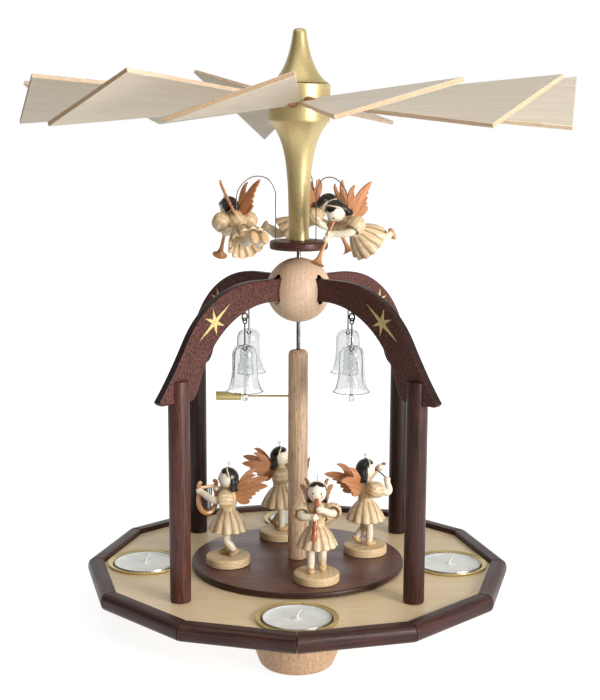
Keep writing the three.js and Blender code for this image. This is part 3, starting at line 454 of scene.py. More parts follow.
def saw(name, outline, thickness):
    """Saw a board with an outline of (x, y) pairs, its thickness along Z about the middle."""
    piece = draw(name, [(x, y, -thickness / 2) for x, y in outline])
    bpy.ops.mesh.edge_face_add()
    bpy.ops.mesh.extrude_region_move(TRANSFORM_OT_translate={"value": (0, 0, thickness)})
    return close_up(piece)


print("lathe and saw are ready, one unit is a millimetre")

# %% [markdown]
# ## The bench: easing, bending and cutting
# Sharp edges are eased with a Bevel, as with sandpaper, and the new faces can take a finish of their own. A
# wire or a limb is a curve with a round section, made a mesh. Holes and slots are taken away with a Boolean,
# as a drill or a saw takes them, so they come out where two solids really meet.

# %% Easing, bending and cutting
def apply(piece, kind, **settings):
    """Add a modifier and apply it."""
    only(piece)
    modifier = piece.modifiers.new(kind, kind)
    for name, value in settings.items():
        setattr(modifier, name, value)
    bpy.ops.object.modifier_apply(modifier=modifier.name)
    return piece


def ease(piece, width, segments=2, edge_slot=-1):
    """Round the sharp edges; the last argument is the number of the material slot that the new faces get."""
    return apply(piece, "BEVEL", width=width, segments=segments, limit_method="ANGLE", material=edge_slot)


def bend(name, points, radii, closed=False, around=3, steps=6):
    """A bent wire or limb through points, as thick as one radius or as a radius at each point."""
    bpy.ops.object.select_all(action="DESELECT")
    bpy.ops.curve.primitive_bezier_curve_add()
    piece = bpy.context.object
    piece.name = name
    line = piece.data
    line.bevel_depth = 1
    line.bevel_resolution = around
    line.resolution_u = steps
    line.use_fill_caps = True
    spline = line.splines[0]
    spline.bezier_points.add(len(points) - 2)
    spline.use_cyclic_u = closed
    sizes = radii if isinstance(radii, (list, tuple)) else [radii] * len(points)
    for knot, point, size in zip(spline.bezier_points, points, sizes):
        knot.co = point
        knot.radius = size
        knot.handle_left_type = "AUTO"
        knot.handle_right_type = "AUTO"
    bpy.ops.object.convert(target="MESH")
    bpy.ops.object.mode_set(mode="EDIT")
    return close_up(piece)


def discard(*pieces):
    """Throw away tools, and first pieces that were only there to be copied."""
    for piece in pieces:
        bpy.data.objects.remove(piece)


def cut(piece, *tools):
    """Take tools away from a piece, and throw the tools away."""
    for tool in tools:
        apply(piece, "BOOLEAN", operation="DIFFERENCE", solver="EXACT", object=tool)
        discard(tool)
    smooth(piece)
    return piece


print("plane, bending jig and drill are ready")

# %% [markdown]
# ## The bench: copies, finishes and places
# What repeats is made once and copied, each copy with its own mesh. A piece gets its finish and its grain on
# the bench. At last it is shrunk to metres, put in its place in the mesh itself, and tied to the body that
# it moves with, and the plain solids that it stands for are hidden.

# %% Copies, finishes and places
def shift(piece, matrix):
    """Move a piece and put its new place into its mesh."""
    piece.matrix_world = matrix
    only(piece)
    bpy.ops.object.transform_apply(location=True, rotation=True, scale=True)
    return piece


def copy_of(piece, name):
    twin = piece.copy()
    twin.data = piece.data.copy()
    twin.name = name
    bpy.context.collection.objects.link(twin)
    return twin


def weld(name, *pieces):
    """Join pieces into one object."""
    bpy.ops.object.select_all(action="DESELECT")
    for piece in pieces:
        piece.select_set(True)
    bpy.context.view_layer.objects.active = pieces[0]
    bpy.ops.object.join()
    pieces[0].name = name
    return pieces[0]


def coat(piece, *finishes):
    """Give a piece its finishes; faces keep the numbers of their slots."""
    numbers = [face.material_index for face in piece.data.polygons]
    piece.data.materials.clear()
    for finish in finishes:
        piece.data.materials.append(finish)
    for face, number in zip(piece.data.polygons, numbers):
        face.material_index = min(number, len(finishes) - 1)
    return piece


def lay_grain(piece, fibre=(0, 0, 1), start=(0, 0, 0), fine=1.0):
    """Keep each point's bench place as grain, with the fibre along Z; a fine above one shrinks the figure."""
    upright = Vector(fibre).rotation_difference(Vector((0, 0, 1))).to_matrix()
    kept = piece.data.attributes.get("grain") or piece.data.attributes.new("grain", "FLOAT_VECTOR", "POINT")
    for point, value in zip(piece.data.vertices, kept.data):
        value.vector = fine * (upright @ point.co) + Vector(start)
    return piece


def rotate(axis, degrees):
    return Matrix.Rotation(math.radians(degrees), 4, axis)


def spin_z(degrees):
    return rotate("Z", degrees)


def go(x, y, z):
    return Matrix.Translation((x, y, z))


BENCH_TO_FRAME = Matrix.Scale(0.001, 4)
AS_DRAWN = Matrix.Identity(4)


def fit(piece, place, body, slot, *nodes):
    """Put a bench piece in its place in metres, on its body, instead of the plain solids it stands for."""
    shift(piece, BENCH_TO_FRAME @ place)
    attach(piece, body)
    if nodes:
        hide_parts(*nodes)
    return piece


SIDES = {"front": -90, "right": 0, "back": 90, "left": 180}
CORNERS = {"front_right": -45, "back_right": 45, "back_left": 135, "front_left": -135}
print("sides:", list(SIDES), "corners:", list(CORNERS))

# %% [markdown]
# ## Lines for profiles
# Turned and sawn shapes are lines with soft corners. One helper rounds a corner by a short curve, another
# samples the flowing curves of the fan's hub and of the arches.

# %% Profile helpers
def flow(*controls, steps=12):
    """Points on a flowing curve with one or two controls between its ends."""
    points = []
    for i in range(steps + 1):
        t = i / steps
        level = [Vector(c) for c in controls]
        while len(level) > 1:
            level = [a.lerp(b, t) for a, b in zip(level, level[1:])]
        points.append(tuple(level[0]))
    return points


def soften(corners, steps=4):
    """A line through (x, y, radius) corners, each rounded by about its radius."""
    line = []
    for i, (x, y, radius) in enumerate(corners):
        here = Vector((x, y))
        if radius == 0 or i in (0, len(corners) - 1):
            line.append((x, y))
            continue
        before = here + (Vector(corners[i - 1][:2]) - here).normalized() * radius
        after = here + (Vector(corners[i + 1][:2]) - here).normalized() * radius
        line.extend(flow(before, here, after, steps=steps))
    return line


print("a softened corner has", len(soften([(0, 0, 0), (5, 0, 1), (5, 5, 0)])), "points")

# %% [markdown]
# ## Base board
# The pale board lies flat inside its rim. Its plain solid already has the right shape and holes, so it
# stays, and only gets the veneer's long quiet grain.

# %% Base board
board = coat(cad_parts["base_board"], maple)
print("board keeps its solid,", len(board.data.polygons), "faces")

# %% [markdown]
# ## Rim
# Twelve bars of half-round moulding are mitred and glued round the board. One bar is drawn as a profile and
# spun by a twelfth of a turn, which cuts both mitres by itself. A hair's gap and an eased end make the seams
# show, and the eased faces take a lighter stain: partly rubbed thin, partly a painted highlight.

# %% Rim
RIM_SIDES = 12
RIM_INNER = 118.0
RIM_OUTER = 127.5
RIM_LOW = 18.0
RIM_HIGH = 28.0
RIM_ROUND = 4.6
SEAM = 0.25


def rim_bar():
    outline = soften([
        (RIM_INNER, RIM_LOW + 1, 0), (RIM_INNER, RIM_HIGH, 0.9), (RIM_OUTER, RIM_HIGH, RIM_ROUND),
        (RIM_OUTER, RIM_LOW, RIM_ROUND), (RIM_INNER, RIM_LOW, 0),
    ], steps=7)
    bar = draw("rim_bar", [(radius, 0, height) for radius, height in outline])
    bpy.ops.mesh.edge_face_add()
    step = 2 * math.pi / RIM_SIDES
    bpy.ops.mesh.spin(steps=1, angle=step, center=(0, 0, 0), axis=(0, 0, 1))
    close_up(bar)
    ends = [v.co.to_2d() for v in bar.data.vertices]
    middle = sum((math.atan2(y, x) for x, y in ends)) / len(ends)
    shift(bar, spin_z(-math.degrees(middle)))
    length = 2 * max(v.co.y for v in bar.data.vertices)
    shift(bar, Matrix.Diagonal((1, 1 - SEAM / length, 1, 1)))
    # The eased faces get the lighter stain: partly rubbed thin, partly a painted highlight.
    ease(bar, 0.5, 2, edge_slot=1)
    return coat(lay_grain(bar, (0, 1, 0)), deep_stain_and_shade, rubbed_edge_and_highlight)


first_bar = rim_bar()
bars = [first_bar]
for number in range(1, RIM_SIDES):
    onwards = spin_z(360 / RIM_SIDES * number)
    bars.append(shift(copy_of(first_bar, f"rim_bar_{number}"), onwards))
    lay_grain(bars[-1], onwards @ Vector((0, 1, 0)), (31 * number, 17 * number, 0))
smooth(fit(weld("mitred_rim", *bars), spin_z(180 / RIM_SIDES), "frame", "dark_stain", "base_rim"))
print("rim of", RIM_SIDES, "bars")

# %% [markdown]
# ## Feet, cups and tea lights
# Each foot is a turned beech bowl that holds a pressed brass cup, and the tea light stands loose in it. All
# three are turned from their profiles and stand on the same ring, so they share one loop.

# %% Feet, cups and tea lights
CANDLE_RING = 92.3
FOOT_PROFILE = soften([
    (20.6, 18.2, 0), (24.5, 18.2, 0.5), (24.1, 13.0, 4), (19.5, 0, 3.4), (0, 0, 0),
])
CUP_PROFILE = soften([
    (0, 11.3, 0), (20.2, 11.3, 1.2), (20.2, 25.35, 0.5), (22.6, 25.35, 0.3), (22.9, 26.5, 0.3),
    (22.1, 26.45, 0.4), (21.6, 25.95, 0.4), (20.2, 25.9, 0.5), (19.6, 25.2, 0.5), (19.6, 11.9, 0.8),
    (0, 11.9, 0),
])
SHELL_PROFILE = soften([
    (0, 12.2, 0), (19.0, 12.2, 0.9), (19.0, 26.2, 0), (18.9, 26.4, 0.1), (18.6, 26.2, 0), (18.6, 12.6, 0.6),
    (0, 12.6, 0),
])
WAX_PROFILE = [
    (0, 12.8), (18.5, 12.8), (18.5, 26.1), (17.6, 25.7),
    *flow((16.6, 25.4), (9, 25.1), (3.2, 25.15), steps=6), (1.6, 25.35), (0.7, 26.0), (0, 26.0),
]
WICK_PATH = [(0, 0, 25.4), (0.25, 0, 27.6), (1.1, 0, 29.4), (2.0, 0, 30.8)]
WICK_RADII = [0.75, 0.6, 0.6, 0.7]

for side, azimuth in SIDES.items():
    spot = spin_z(azimuth) @ go(CANDLE_RING, 0, 0) @ spin_z(-azimuth)
    foot = coat(turn(f"turned_foot_{side}", FOOT_PROFILE, 64), beech)
    lay_grain(foot, start=(azimuth, 9, 0))
    fit(foot, spot, "frame", "beech", f"foot_{side}")
    cup = coat(turn(f"brass_cup_{side}", CUP_PROFILE, 64), brass)
    fit(cup, spot, "frame", "brass", f"candle_cup_{side}")
    shell = coat(turn("shell", SHELL_PROFILE, 64), tin)
    filling = coat(turn("filling", WAX_PROFILE, 64), wax)
    wick = coat(bend("wick", WICK_PATH, WICK_RADII), wick_cotton)
    light = weld(f"wax_light_{side}", shell, filling, wick)
    fit(light, spot, f"loose_tea_light_{side}", "wax", f"tea_light_{side}")
print("candle places:", len(SIDES))

# %% [markdown]
# ## Posts
# The four dark posts are turned rods with eased ends. A saw cut at the top takes the arch, so a box is taken
# away from the rod with a Boolean, as the saw would do it. The front-right post and the two back posts get
# darker copies of the stain, as painted shade.

# %% Posts
POST_RADIUS = 5.9
POST_LOW = 25.3
POST_HIGH = 151.0
SLOT_LOW = 138.2
SLOT_WIDTH = 5.6
# The front-right and the back posts get darker copies of the stain, as painted shade.
POST_SHADED_STAINS = {
    "front_left": dark_stain, "front_right": deep_stain_and_shade, "back_left": painted_shade_stain, "back_right": painted_shade_stain,
}


def box(name, low, high):
    """A box between two corners, for cutting."""
    bpy.ops.object.select_all(action="DESELECT")
    bpy.ops.mesh.primitive_cube_add(size=1)
    middle = [(a + b) / 2 for a, b in zip(low, high)]
    size = [b - a for a, b in zip(low, high)]
    bpy.context.object.name = name
    return shift(bpy.context.object, go(*middle) @ Matrix.Diagonal((*size, 1)))


post_line = soften([
    (0, POST_LOW, 0), (POST_RADIUS, POST_LOW, 0.6), (POST_RADIUS, POST_HIGH, 0.9), (0, POST_HIGH, 0),
])
first_post = turn("first_post", post_line, 48)
cut(first_post, box("saw_cut", (-9, -SLOT_WIDTH / 2, SLOT_LOW), (9, SLOT_WIDTH / 2, POST_HIGH + 9)))
for corner, azimuth in CORNERS.items():
    post = lay_grain(copy_of(first_post, f"turned_post_{corner}"), start=(azimuth, 40, 7 * azimuth))
    coat(post, POST_SHADED_STAINS[corner])
    fit(post, spin_z(azimuth) @ go(CANDLE_RING, 0, 0), "frame", "dark_stain", f"post_{corner}")
discard(first_post)
print("posts:", len(CORNERS))

# %% [markdown]
# ## Arches
# An arch is sawn from flat board: one arc outside, one inside, and a curled foot that looks like the eaves
# of a roof. Its edges are eased, and the eased faces have a lighter finish of their own: partly stain rubbed
# thin, partly a painted highlight. The sawn edge is darker than the face, as painted shade. A screw eye below
# the arch carries the bell, and a gold star is set on each face.

# %% Arches
ARCH_THICK = 5.0
OUTER_CENTRE = (37.0, 143.0)
OUTER_RADIUS = 58.0
INNER_CENTRE = (24.0, 131.0)
INNER_RADIUS = 57.0
BELL_RING = 43.0
EYE_LEVEL = 181.14
EYE_RADIUS = 2.0
EYE_WIRE = 0.5
STAR_SPOT = (67.9, 180.8)
STAR_TILT = -39.6
STAR_THICK = 0.3


def arc(centre, radius, start, end, steps=20):
    """Points on an arc, from one angle off the vertical to another."""
    angles = [math.radians(start + (end - start) * i / steps) for i in range(steps + 1)]
    return [(centre[0] + radius * math.sin(a), centre[1] + radius * math.cos(a)) for a in angles]


def arch_outline():
    outer = arc(OUTER_CENTRE, OUTER_RADIUS, 0, 60)
    toe = flow(outer[-1], (98.87, 151.84), (108.1, 140.5), steps=8)
    inner = arc(INNER_CENTRE, INNER_RADIUS, 72.4, 0)
    heel = flow((84, 138.5), (80.6, 141.2), inner[0], steps=4)
    return [(10.3, 201), *outer, *toe[1:], (106.1, 138.5), *heel, *inner[1:], (10.3, 188)]


def upright(piece):
    """Stand a piece drawn flat on its edge: y goes up, and its thickness runs across."""
    return shift(piece, rotate("X", 90))


def ring_points(radius, count=10):
    angles = [2 * math.pi * i / count for i in range(count)]
    return [(radius * math.cos(a), 0, radius * math.sin(a)) for a in angles]


def star_outline(long=14.6, short=7.6, notch=2.3):
    points = []
    for ray in range(6):
        length = long if ray % 3 == 0 else short
        for angle, reach in ((60 * ray, length), (60 * ray + 30, notch)):
            points.append((reach * math.cos(math.radians(angle)), reach * math.sin(math.radians(angle))))
    return points


# The eased faces get the lighter stain, partly rubbed thin and partly a painted highlight.
first_arch = upright(ease(saw("first_arch", arch_outline(), ARCH_THICK), 0.7, 2, edge_slot=1))
# The sawn edge faces get the darkest stain, as painted shade.
for face in first_arch.data.polygons:
    if face.material_index == 0 and abs(face.normal.y) < 0.5:
        face.material_index = 2
first_star = saw("first_star", star_outline(), STAR_THICK)
upright(shift(first_star, go(*STAR_SPOT, 0) @ spin_z(STAR_TILT)))
shank_path = [(0, 0, EYE_RADIUS + rise) for rise in (-0.2, 2, 4)]
for corner, azimuth in CORNERS.items():
    arch = lay_grain(copy_of(first_arch, f"sawn_arch_{corner}"), (0, 1, 0), (azimuth, 11, 3), 0.6)
    coat(arch, arch_stain, rubbed_edge_and_highlight, painted_shade_stain)
    fit(arch, spin_z(azimuth), "frame", "dark_stain", f"arch_{corner}")
    for face, across in (("a", 1), ("b", -1)):
        star = coat(copy_of(first_star, f"gold_star_{corner}_{face}"), star_gold)
        on_face = go(0, across * (ARCH_THICK + STAR_THICK) / 2, 0)
        fit(star, spin_z(azimuth) @ on_face, "frame", "gold_lacquer")
    eye_ring = bend("eye_ring", ring_points(EYE_RADIUS), EYE_WIRE, closed=True)
    shank = bend("shank", shank_path, EYE_WIRE)
    eye = coat(weld(f"screw_eye_{corner}", eye_ring, shank), dark_wire)
    fit(eye, spin_z(azimuth) @ go(BELL_RING, 0, EYE_LEVEL), "frame", "steel")
discard(first_arch, first_star)
print("arches, stars and eyes:", len(CORNERS))

# %% [markdown]
# ## Ball
# The arches meet in a beech ball. Each slot is sawn between two drilled holes, which still show as black
# dots above and below the arch. The ball is turned, then cut with boxes and rods. The tools carry a dark
# finish in their second slot, and so the cut faces come out dark: painted shade inside the slots and holes.
# The brass bush in the ball and the brass cup under the shaft keep their plain solids.

# %% Ball
BALL_RADIUS = 19.0
BALL_CENTRE = 193.0
BALL_BORE = 2.9
BALL_SLOT = 6.2
BALL_SLOT_INNER = 10.0
BALL_SLOT_LOW = -5.3
BALL_SLOT_HIGH = 8.3
DRILL = 1.8
TOOL_REACH = 30.0


def rod_tool(name, radius, low, high, steps=24):
    return turn(name, [(0, low), (radius, low), (radius, high), (0, high)], steps)


ball_line = arc((0, 0), BALL_RADIUS, 180, 0, 40)
ball = coat(turn("turned_ball", ball_line, 96), ball_beech, painted_recess_shade)
tools = [rod_tool("bore", BALL_BORE, -TOOL_REACH, TOOL_REACH)]
inner_corner = (BALL_SLOT_INNER, -BALL_SLOT / 2, BALL_SLOT_LOW)
outer_corner = (TOOL_REACH, BALL_SLOT / 2, BALL_SLOT_HIGH)
for azimuth in CORNERS.values():
    tools.append(shift(box("slot", inner_corner, outer_corner), spin_z(azimuth)))
    for level in (BALL_SLOT_LOW, BALL_SLOT_HIGH):
        drill = rod_tool("drill", DRILL, BALL_SLOT_INNER, TOOL_REACH)
        tools.append(shift(drill, spin_z(azimuth) @ go(0, 0, level) @ rotate("Y", 90)))
# The tools' dark second slot paints shade on the cut faces.
for tool in tools:
    coat(tool, ball_beech, painted_recess_shade)
    for face in tool.data.polygons:
        face.material_index = 1
cut(ball, *tools)
lay_grain(ball, start=(4, 2, 0))
fit(ball, go(0, 0, BALL_CENTRE), "frame", "beech", "head_ball")
for node in ("ball_bush", "pivot_cup"):
    coat(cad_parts[node], brass)
print("ball faces:", len(ball.data.polygons))

# %% [markdown]
# ## Glass bells
# The bells are blown thin, with a round shoulder, a slender body and a flared lip. The profile runs up the
# outside and down the inside, so that the glass has a real wall. Faint ribs are pressed in by moving the
# points in and out round the bell. A wire hook hangs in the screw eye and goes through a hole in the crown,
# and the ring at its lower end holds both the bell and the glass rod that hangs inside.

# %% Glass bells
BELL_RIM = 138.24
BELL_HIGH = 165.04
BELL_TALL = BELL_HIGH - BELL_RIM
BELL_PIVOT = 179.14
BELL_WALL = 0.8
BELL_HOLE = 1.3
CLAPPER_HIGH = 162.74
CLAPPER_TIP = 132.24
CLAPPER_LINK = 0.4
HOOK_WIRE = 0.4
HOOK_MIDDLE = 172.0
RIBS = 12
RIB_DEPTH = 0.008


def flute(piece, count, depth, low, high):
    """Press grooves in round Z, deepest at the low level and gone at the high one."""
    for point in piece.data.vertices:
        share = max(0.0, min(1.0, (high - point.co.z) / (high - low)))
        round_ridge = abs(math.cos(count / 2 * math.atan2(point.co.y, point.co.x)))
        swell = 1 + depth * share * (2 * round_ridge - 1)
        point.co.x *= swell
        point.co.y *= swell
    return piece


def bell_skin(wall):
    lip = flow((10.7 - wall, 0), (9.0 - wall, 1.4), (8.3 - wall, 6), (7.8 - wall, 8), steps=8)
    body = flow((7.8 - wall, 8), (7.5 - wall, 13), (7.4 - wall, BELL_TALL - 7), steps=5)
    crown = BELL_TALL - wall
    dome = flow((7.4 - wall, BELL_TALL - 7), (7.2 - wall, crown), (4, crown), (BELL_HOLE, crown), steps=10)
    return [*lip, *body[1:], *dome[1:]]


def wire_ring(name, radius, wire, level, azimuth=0):
    return shift(bend(name, ring_points(radius), wire, closed=True), go(0, 0, level) @ spin_z(azimuth))


bell_line = [*bell_skin(0), *reversed(bell_skin(BELL_WALL)), bell_skin(0)[0]]
hook_centre = BELL_PIVOT - 0.3
inner_ring = BELL_HIGH - 1.7
hook_path = [(0, 0, level) for level in (inner_ring + 1.4, HOOK_MIDDLE, hook_centre - 1.5)]
stem_line = soften([
    (0, CLAPPER_TIP, 0), (1.8, CLAPPER_TIP, 1.5), (1.8, CLAPPER_TIP + 3.6, 1.5),
    (0.7, CLAPPER_TIP + 4.4, 0.5), (0.7, CLAPPER_HIGH - 3.2, 0), (0, CLAPPER_HIGH - 3.2, 0),
])
for corner, azimuth in CORNERS.items():
    spot = spin_z(azimuth) @ go(BELL_RING, 0, 0)
    bell = flute(turn(f"glass_bell_{corner}", bell_line, 72), RIBS, RIB_DEPTH, 0, BELL_TALL)
    shift(coat(bell, glass), go(0, 0, BELL_RIM))
    fit(bell, spot, f"hanging_bell_{corner}", "glass", f"bell_{corner}")
    upper = wire_ring("upper", 1.6, HOOK_WIRE, hook_centre, 90)
    lower = wire_ring("lower", 1.5, HOOK_WIRE, inner_ring, 90)
    shank = bend("shank", hook_path, HOOK_WIRE)
    hook = coat(weld(f"wire_hook_{corner}", upper, lower, shank), dark_wire)
    fit(hook, spot, f"hanging_bell_{corner}", "steel")
    stem = turn("stem", stem_line, 20)
    link = wire_ring("link", 0.9, CLAPPER_LINK, CLAPPER_HIGH - 2.1)
    clapper = coat(weld(f"glass_clapper_{corner}", stem, link), glass)
    fit(clapper, spot, f"hanging_clapper_{corner}", "glass", f"clapper_{corner}")
print("bells:", len(CORNERS))

# %% [markdown]
# ## Turntable, column and shaft
# The dark table is a thin turned disc, and its rim is darker, as painted shade. A beech column stands on it
# and hides most of the steel shaft, which shows only above the column and above the ball. All three are
# turned from lines.

# %% Turntable, column and shaft
SHAFT_RADIUS = 1.2
SHAFT_LOW = 21.0
SHAFT_HIGH = 306.5
BORE = 1.5
TABLE_RADIUS = 64.0
TABLE_LOW = 25.8
TABLE_HIGH = 29.0
COLUMN_RADIUS = 5.9
COLUMN_LOW = 29.3
COLUMN_HIGH = 157.4


def disc_line(radius, low, high, rounding):
    """The closed profile of a bored disc with a rounded rim."""
    rim = [(radius, low, rounding), (radius, high, rounding)]
    return soften([(BORE, low, 0), *rim, (BORE, high, 0), (BORE, low, 0)])


table = turn("turned_table", disc_line(TABLE_RADIUS, TABLE_LOW, TABLE_HIGH, 1.1), 96)
lay_grain(table, (1, 0, 0), (0, 3, 0))
# The faces on the table's rim get the deeper stain, as painted shade.
for face in table.data.polygons:
    face.material_index = int(face.center.to_2d().length > TABLE_RADIUS - 1)
coat(table, table_stain, deep_stain_and_shade)
fit(table, AS_DRAWN, "rotor", "dark_stain", "turntable")
column_crown = flow((COLUMN_RADIUS, COLUMN_HIGH - 3), (COLUMN_RADIUS - 0.3, COLUMN_HIGH),
                    (3.4, COLUMN_HIGH), (BORE, COLUMN_HIGH), steps=8)
column_foot = [(BORE, COLUMN_LOW), (COLUMN_RADIUS - 0.2, COLUMN_LOW), (COLUMN_RADIUS, COLUMN_LOW + 0.2)]
column_line = [*column_foot, *column_crown, (BORE, COLUMN_LOW)]
column = coat(lay_grain(turn("turned_column", column_line, 48), start=(2, 8, 0)), column_beech)
fit(column, AS_DRAWN, "rotor", "beech", "column")
shaft_line = soften([
    (0, SHAFT_LOW, 0), (SHAFT_RADIUS, SHAFT_LOW + 3, 0.2), (SHAFT_RADIUS, SHAFT_HIGH, 0.2),
    (0, SHAFT_HIGH, 0),
])
shaft = coat(turn("steel_shaft", shaft_line, 20), steel)
fit(shaft, AS_DRAWN, "rotor", "steel", "shaft")
print("table, column and shaft are set")

# %% [markdown]
# ## Striker
# A brass wire sticks out of the column and brushes the clappers as the table turns. The flag at its end is
# a strip folded round the wire. Its section is a thin leaf, so it is sawn like a board and laid along X.

# %% Striker
STRIKER_LEVEL = 129.24
STRIKER_REACH = 49.0
STRIKER_WIRE = 0.6
FLAG_HALF = 2.6
FLAG_LONG = 15.0

striker_path = [(-x, 0, STRIKER_LEVEL) for x in (STRIKER_REACH - 0.2, 25, 3.5)]
striker = coat(bend("brass_wire", striker_path, STRIKER_WIRE), brass)
fit(striker, AS_DRAWN, "rotor", "brass", "striker_wire")
sheet_side = flow((0.3, -FLAG_HALF), (1.2, -0.9), (1.2, 0.9), (0.3, FLAG_HALF), steps=12)
sheet_line = sheet_side + [(-x, y) for x, y in reversed(sheet_side)]
flag = ease(saw("folded_flag", sheet_line, FLAG_LONG), 0.12, 1)
shift(coat(flag, brass), rotate("Y", 90) @ spin_z(90))
fit(flag, go(FLAG_LONG / 2 - STRIKER_REACH, 0, STRIKER_LEVEL), "rotor", "brass", "striker_flag")
smooth(flag)
print("striker reaches", STRIKER_REACH, "mm")

# %% [markdown]
# ## Carrier disc, hub and finial
# Above the ball, a small dark disc carries the flying angels. The gold hub flows up from a slim neck into a
# drum that is drilled for twelve pegs, and a finial like a candle flame closes it. The finial's gold is
# darker, as painted shade. All are turned, and the peg holes are cut with one ring of rods.

# %% Carrier disc, hub and finial
CARRIER_RADIUS = 17.1
CARRIER_LOW = 216.8
CARRIER_HIGH = 222.0
NECK_RADIUS = 6.05
HUB_LOW = 222.3
DRUM_RADIUS = 17.8
DRUM_LOW = 291.0
HUB_HIGH = 311.8
FINIAL_RADIUS = 17.0
FINIAL_LOW = 312.1
FINIAL_HIGH = 342.9
PEG_LEVEL = 301.4
PEG_RADIUS = 2.8
PEG_INNER = 12.35
BLADE_COUNT = 12
FIRST_BLADE = -102.3


def blade_place(number):
    """A blade's place on the shaft, at the level of the pegs, with X running out along its peg."""
    return spin_z(FIRST_BLADE + 360 / BLADE_COUNT * number) @ go(0, 0, PEG_LEVEL)


carrier = turn("turned_carrier", disc_line(CARRIER_RADIUS, CARRIER_LOW, CARRIER_HIGH, 1.6), 72)
coat(lay_grain(carrier, (1, 0, 0), (5, 70, 0)), dark_stain)
fit(carrier, AS_DRAWN, "rotor", "dark_stain", "carrier_disc")
neck = flow((NECK_RADIUS, HUB_LOW), (NECK_RADIUS, HUB_LOW + 40), (7.0, DRUM_LOW - 11.7),
            (DRUM_RADIUS - 0.4, DRUM_LOW - 0.4), steps=30)
drum = soften([
    (DRUM_RADIUS - 0.4, DRUM_LOW, 0), (DRUM_RADIUS, DRUM_LOW + 0.2, 0.2), (DRUM_RADIUS, HUB_HIGH, 0.7),
    (0, HUB_HIGH, 0),
])
hub = turn("gold_hub", [(0, HUB_LOW), *neck, *drum], 96)
peg_tools = []
for number in range(BLADE_COUNT):
    peg_tool = rod_tool("peg_hole", PEG_RADIUS + 0.3, PEG_INNER - 0.2, TOOL_REACH)
    peg_tools.append(shift(peg_tool, blade_place(number) @ rotate("Y", 90)))
cut(hub, weld("peg_holes", *peg_tools))
fit(coat(hub, gold_lacquer), AS_DRAWN, "rotor", "gold_lacquer", "fan_hub")
sweep = flow((FINIAL_RADIUS, FINIAL_LOW), (9.5, FINIAL_LOW + 4), (5.2, FINIAL_LOW + 17),
             (3.9, FINIAL_HIGH - 2.3), steps=24)
dome = flow(sweep[-1], (3.7, FINIAL_HIGH), (1.6, FINIAL_HIGH), (0, FINIAL_HIGH), steps=6)
finial_foot = [(0, FINIAL_LOW), (FINIAL_RADIUS - 0.4, FINIAL_LOW), (FINIAL_RADIUS, FINIAL_LOW + 0.2)]
finial_line = [*finial_foot, *sweep[1:], *dome[1:]]
# The finial gets the darker gold, as painted shade.
finial = coat(turn("gold_finial", finial_line, 72), finial_gold_shaded)
fit(finial, AS_DRAWN, "rotor", "gold_lacquer", "fan_finial")
print("hub faces:", len(hub.data.polygons))

# %% [markdown]
# ## Blades
# Each blade is a thin plank that widens to its tip, glued into a slit in a round peg. The peg can be turned
# in the hub to set the blade's slope, and no two are set quite alike. The long edges are cut along the fibre
# and stay pale, while the tip shows darker end grain, so faces get their finish by the way they point.

# %% Blades
BLADE_ROOT = 20.0
BLADE_TIP = 155.2
BLADE_ROOT_HALF = 5.0
BLADE_TIP_HALF = 33.7
BLADE_THICK = 2.5
PEG_OUTER = 32.0
PITCHES = (18.5, 15.5, 22, 24.5, 22, 24, 20, 42, 21, 18, 20.5, 22.5)

blade_outline = [
    (BLADE_ROOT, -BLADE_ROOT_HALF), (BLADE_TIP, -BLADE_TIP_HALF),
    (BLADE_TIP, BLADE_TIP_HALF), (BLADE_ROOT, BLADE_ROOT_HALF),
]
first_blade = ease(saw("first_blade", blade_outline, BLADE_THICK), 0.25, 1)
for face in first_blade.data.polygons:
    if abs(face.normal.z) < 0.5:
        face.material_index = 2 if abs(face.normal.x) > 0.7 else 1
peg_line = soften([
    (0, PEG_INNER, 0), (PEG_RADIUS, PEG_INNER, 0.3), (PEG_RADIUS, PEG_OUTER - 10, 4),
    (0.9, PEG_OUTER, 0), (0, PEG_OUTER, 0),
])
first_peg = shift(turn("first_peg", peg_line, 24), rotate("Y", 90))
for number, pitch in enumerate(PITCHES):
    name = f"{number + 1:02d}"
    plank = lay_grain(copy_of(first_blade, "plank"), (1, 0, 0), (53 * number, 29 * number, 0))
    coat(plank, limewood, lime_edge, lime_end)
    peg = coat(lay_grain(copy_of(first_peg, "peg"), (1, 0, 0), (11 * number, 0, 0)), peg_wood)
    set_blade = weld(f"fan_plank_{name}", plank, peg)
    place = blade_place(number) @ rotate("X", pitch)
    fit(set_blade, place, f"fan_blade_{name}", "limewood", f"blade_{name}")
discard(first_blade, first_peg)
print("blades:", len(PITCHES))

# %% [markdown]
# ## Angels: dress
# The angels are turned and carved from pale wood and waxed. A figure faces +X, with its shoes on level zero.
# The skirt is a hollow bell with carved pleats, the bodice a small turned body with a collar. The skirt keeps
# its folds in an attribute, so that its finish can paint shade into the grooves.

# %% Angel dress
HEM_LEVEL = 16.0
WAIST_LEVEL = 28.2
PLEATS = 12


def skirt():
    outside = flow((11.5, 16.5), (9.0, 24.2), (4.5, WAIST_LEVEL), steps=14)
    inside = flow((2.5, 24.4), (6.0, 23.0), (10.3, 16.1), steps=8)
    line = [(0, 24.4), *inside, (10.9, 15.9), *outside, (4.4, WAIST_LEVEL + 0.4), (0, WAIST_LEVEL + 0.4)]
    pleated = flute(turn("skirt", line, 8 * PLEATS), PLEATS, 0.07, HEM_LEVEL, WAIST_LEVEL)
    folds = pleated.data.attributes.new("groove_shade", "FLOAT", "POINT")
    for point, value in zip(pleated.data.vertices, folds.data):
        value.value = 1 - abs(math.cos(PLEATS / 2 * math.atan2(point.co.y, point.co.x)))
    return pleated


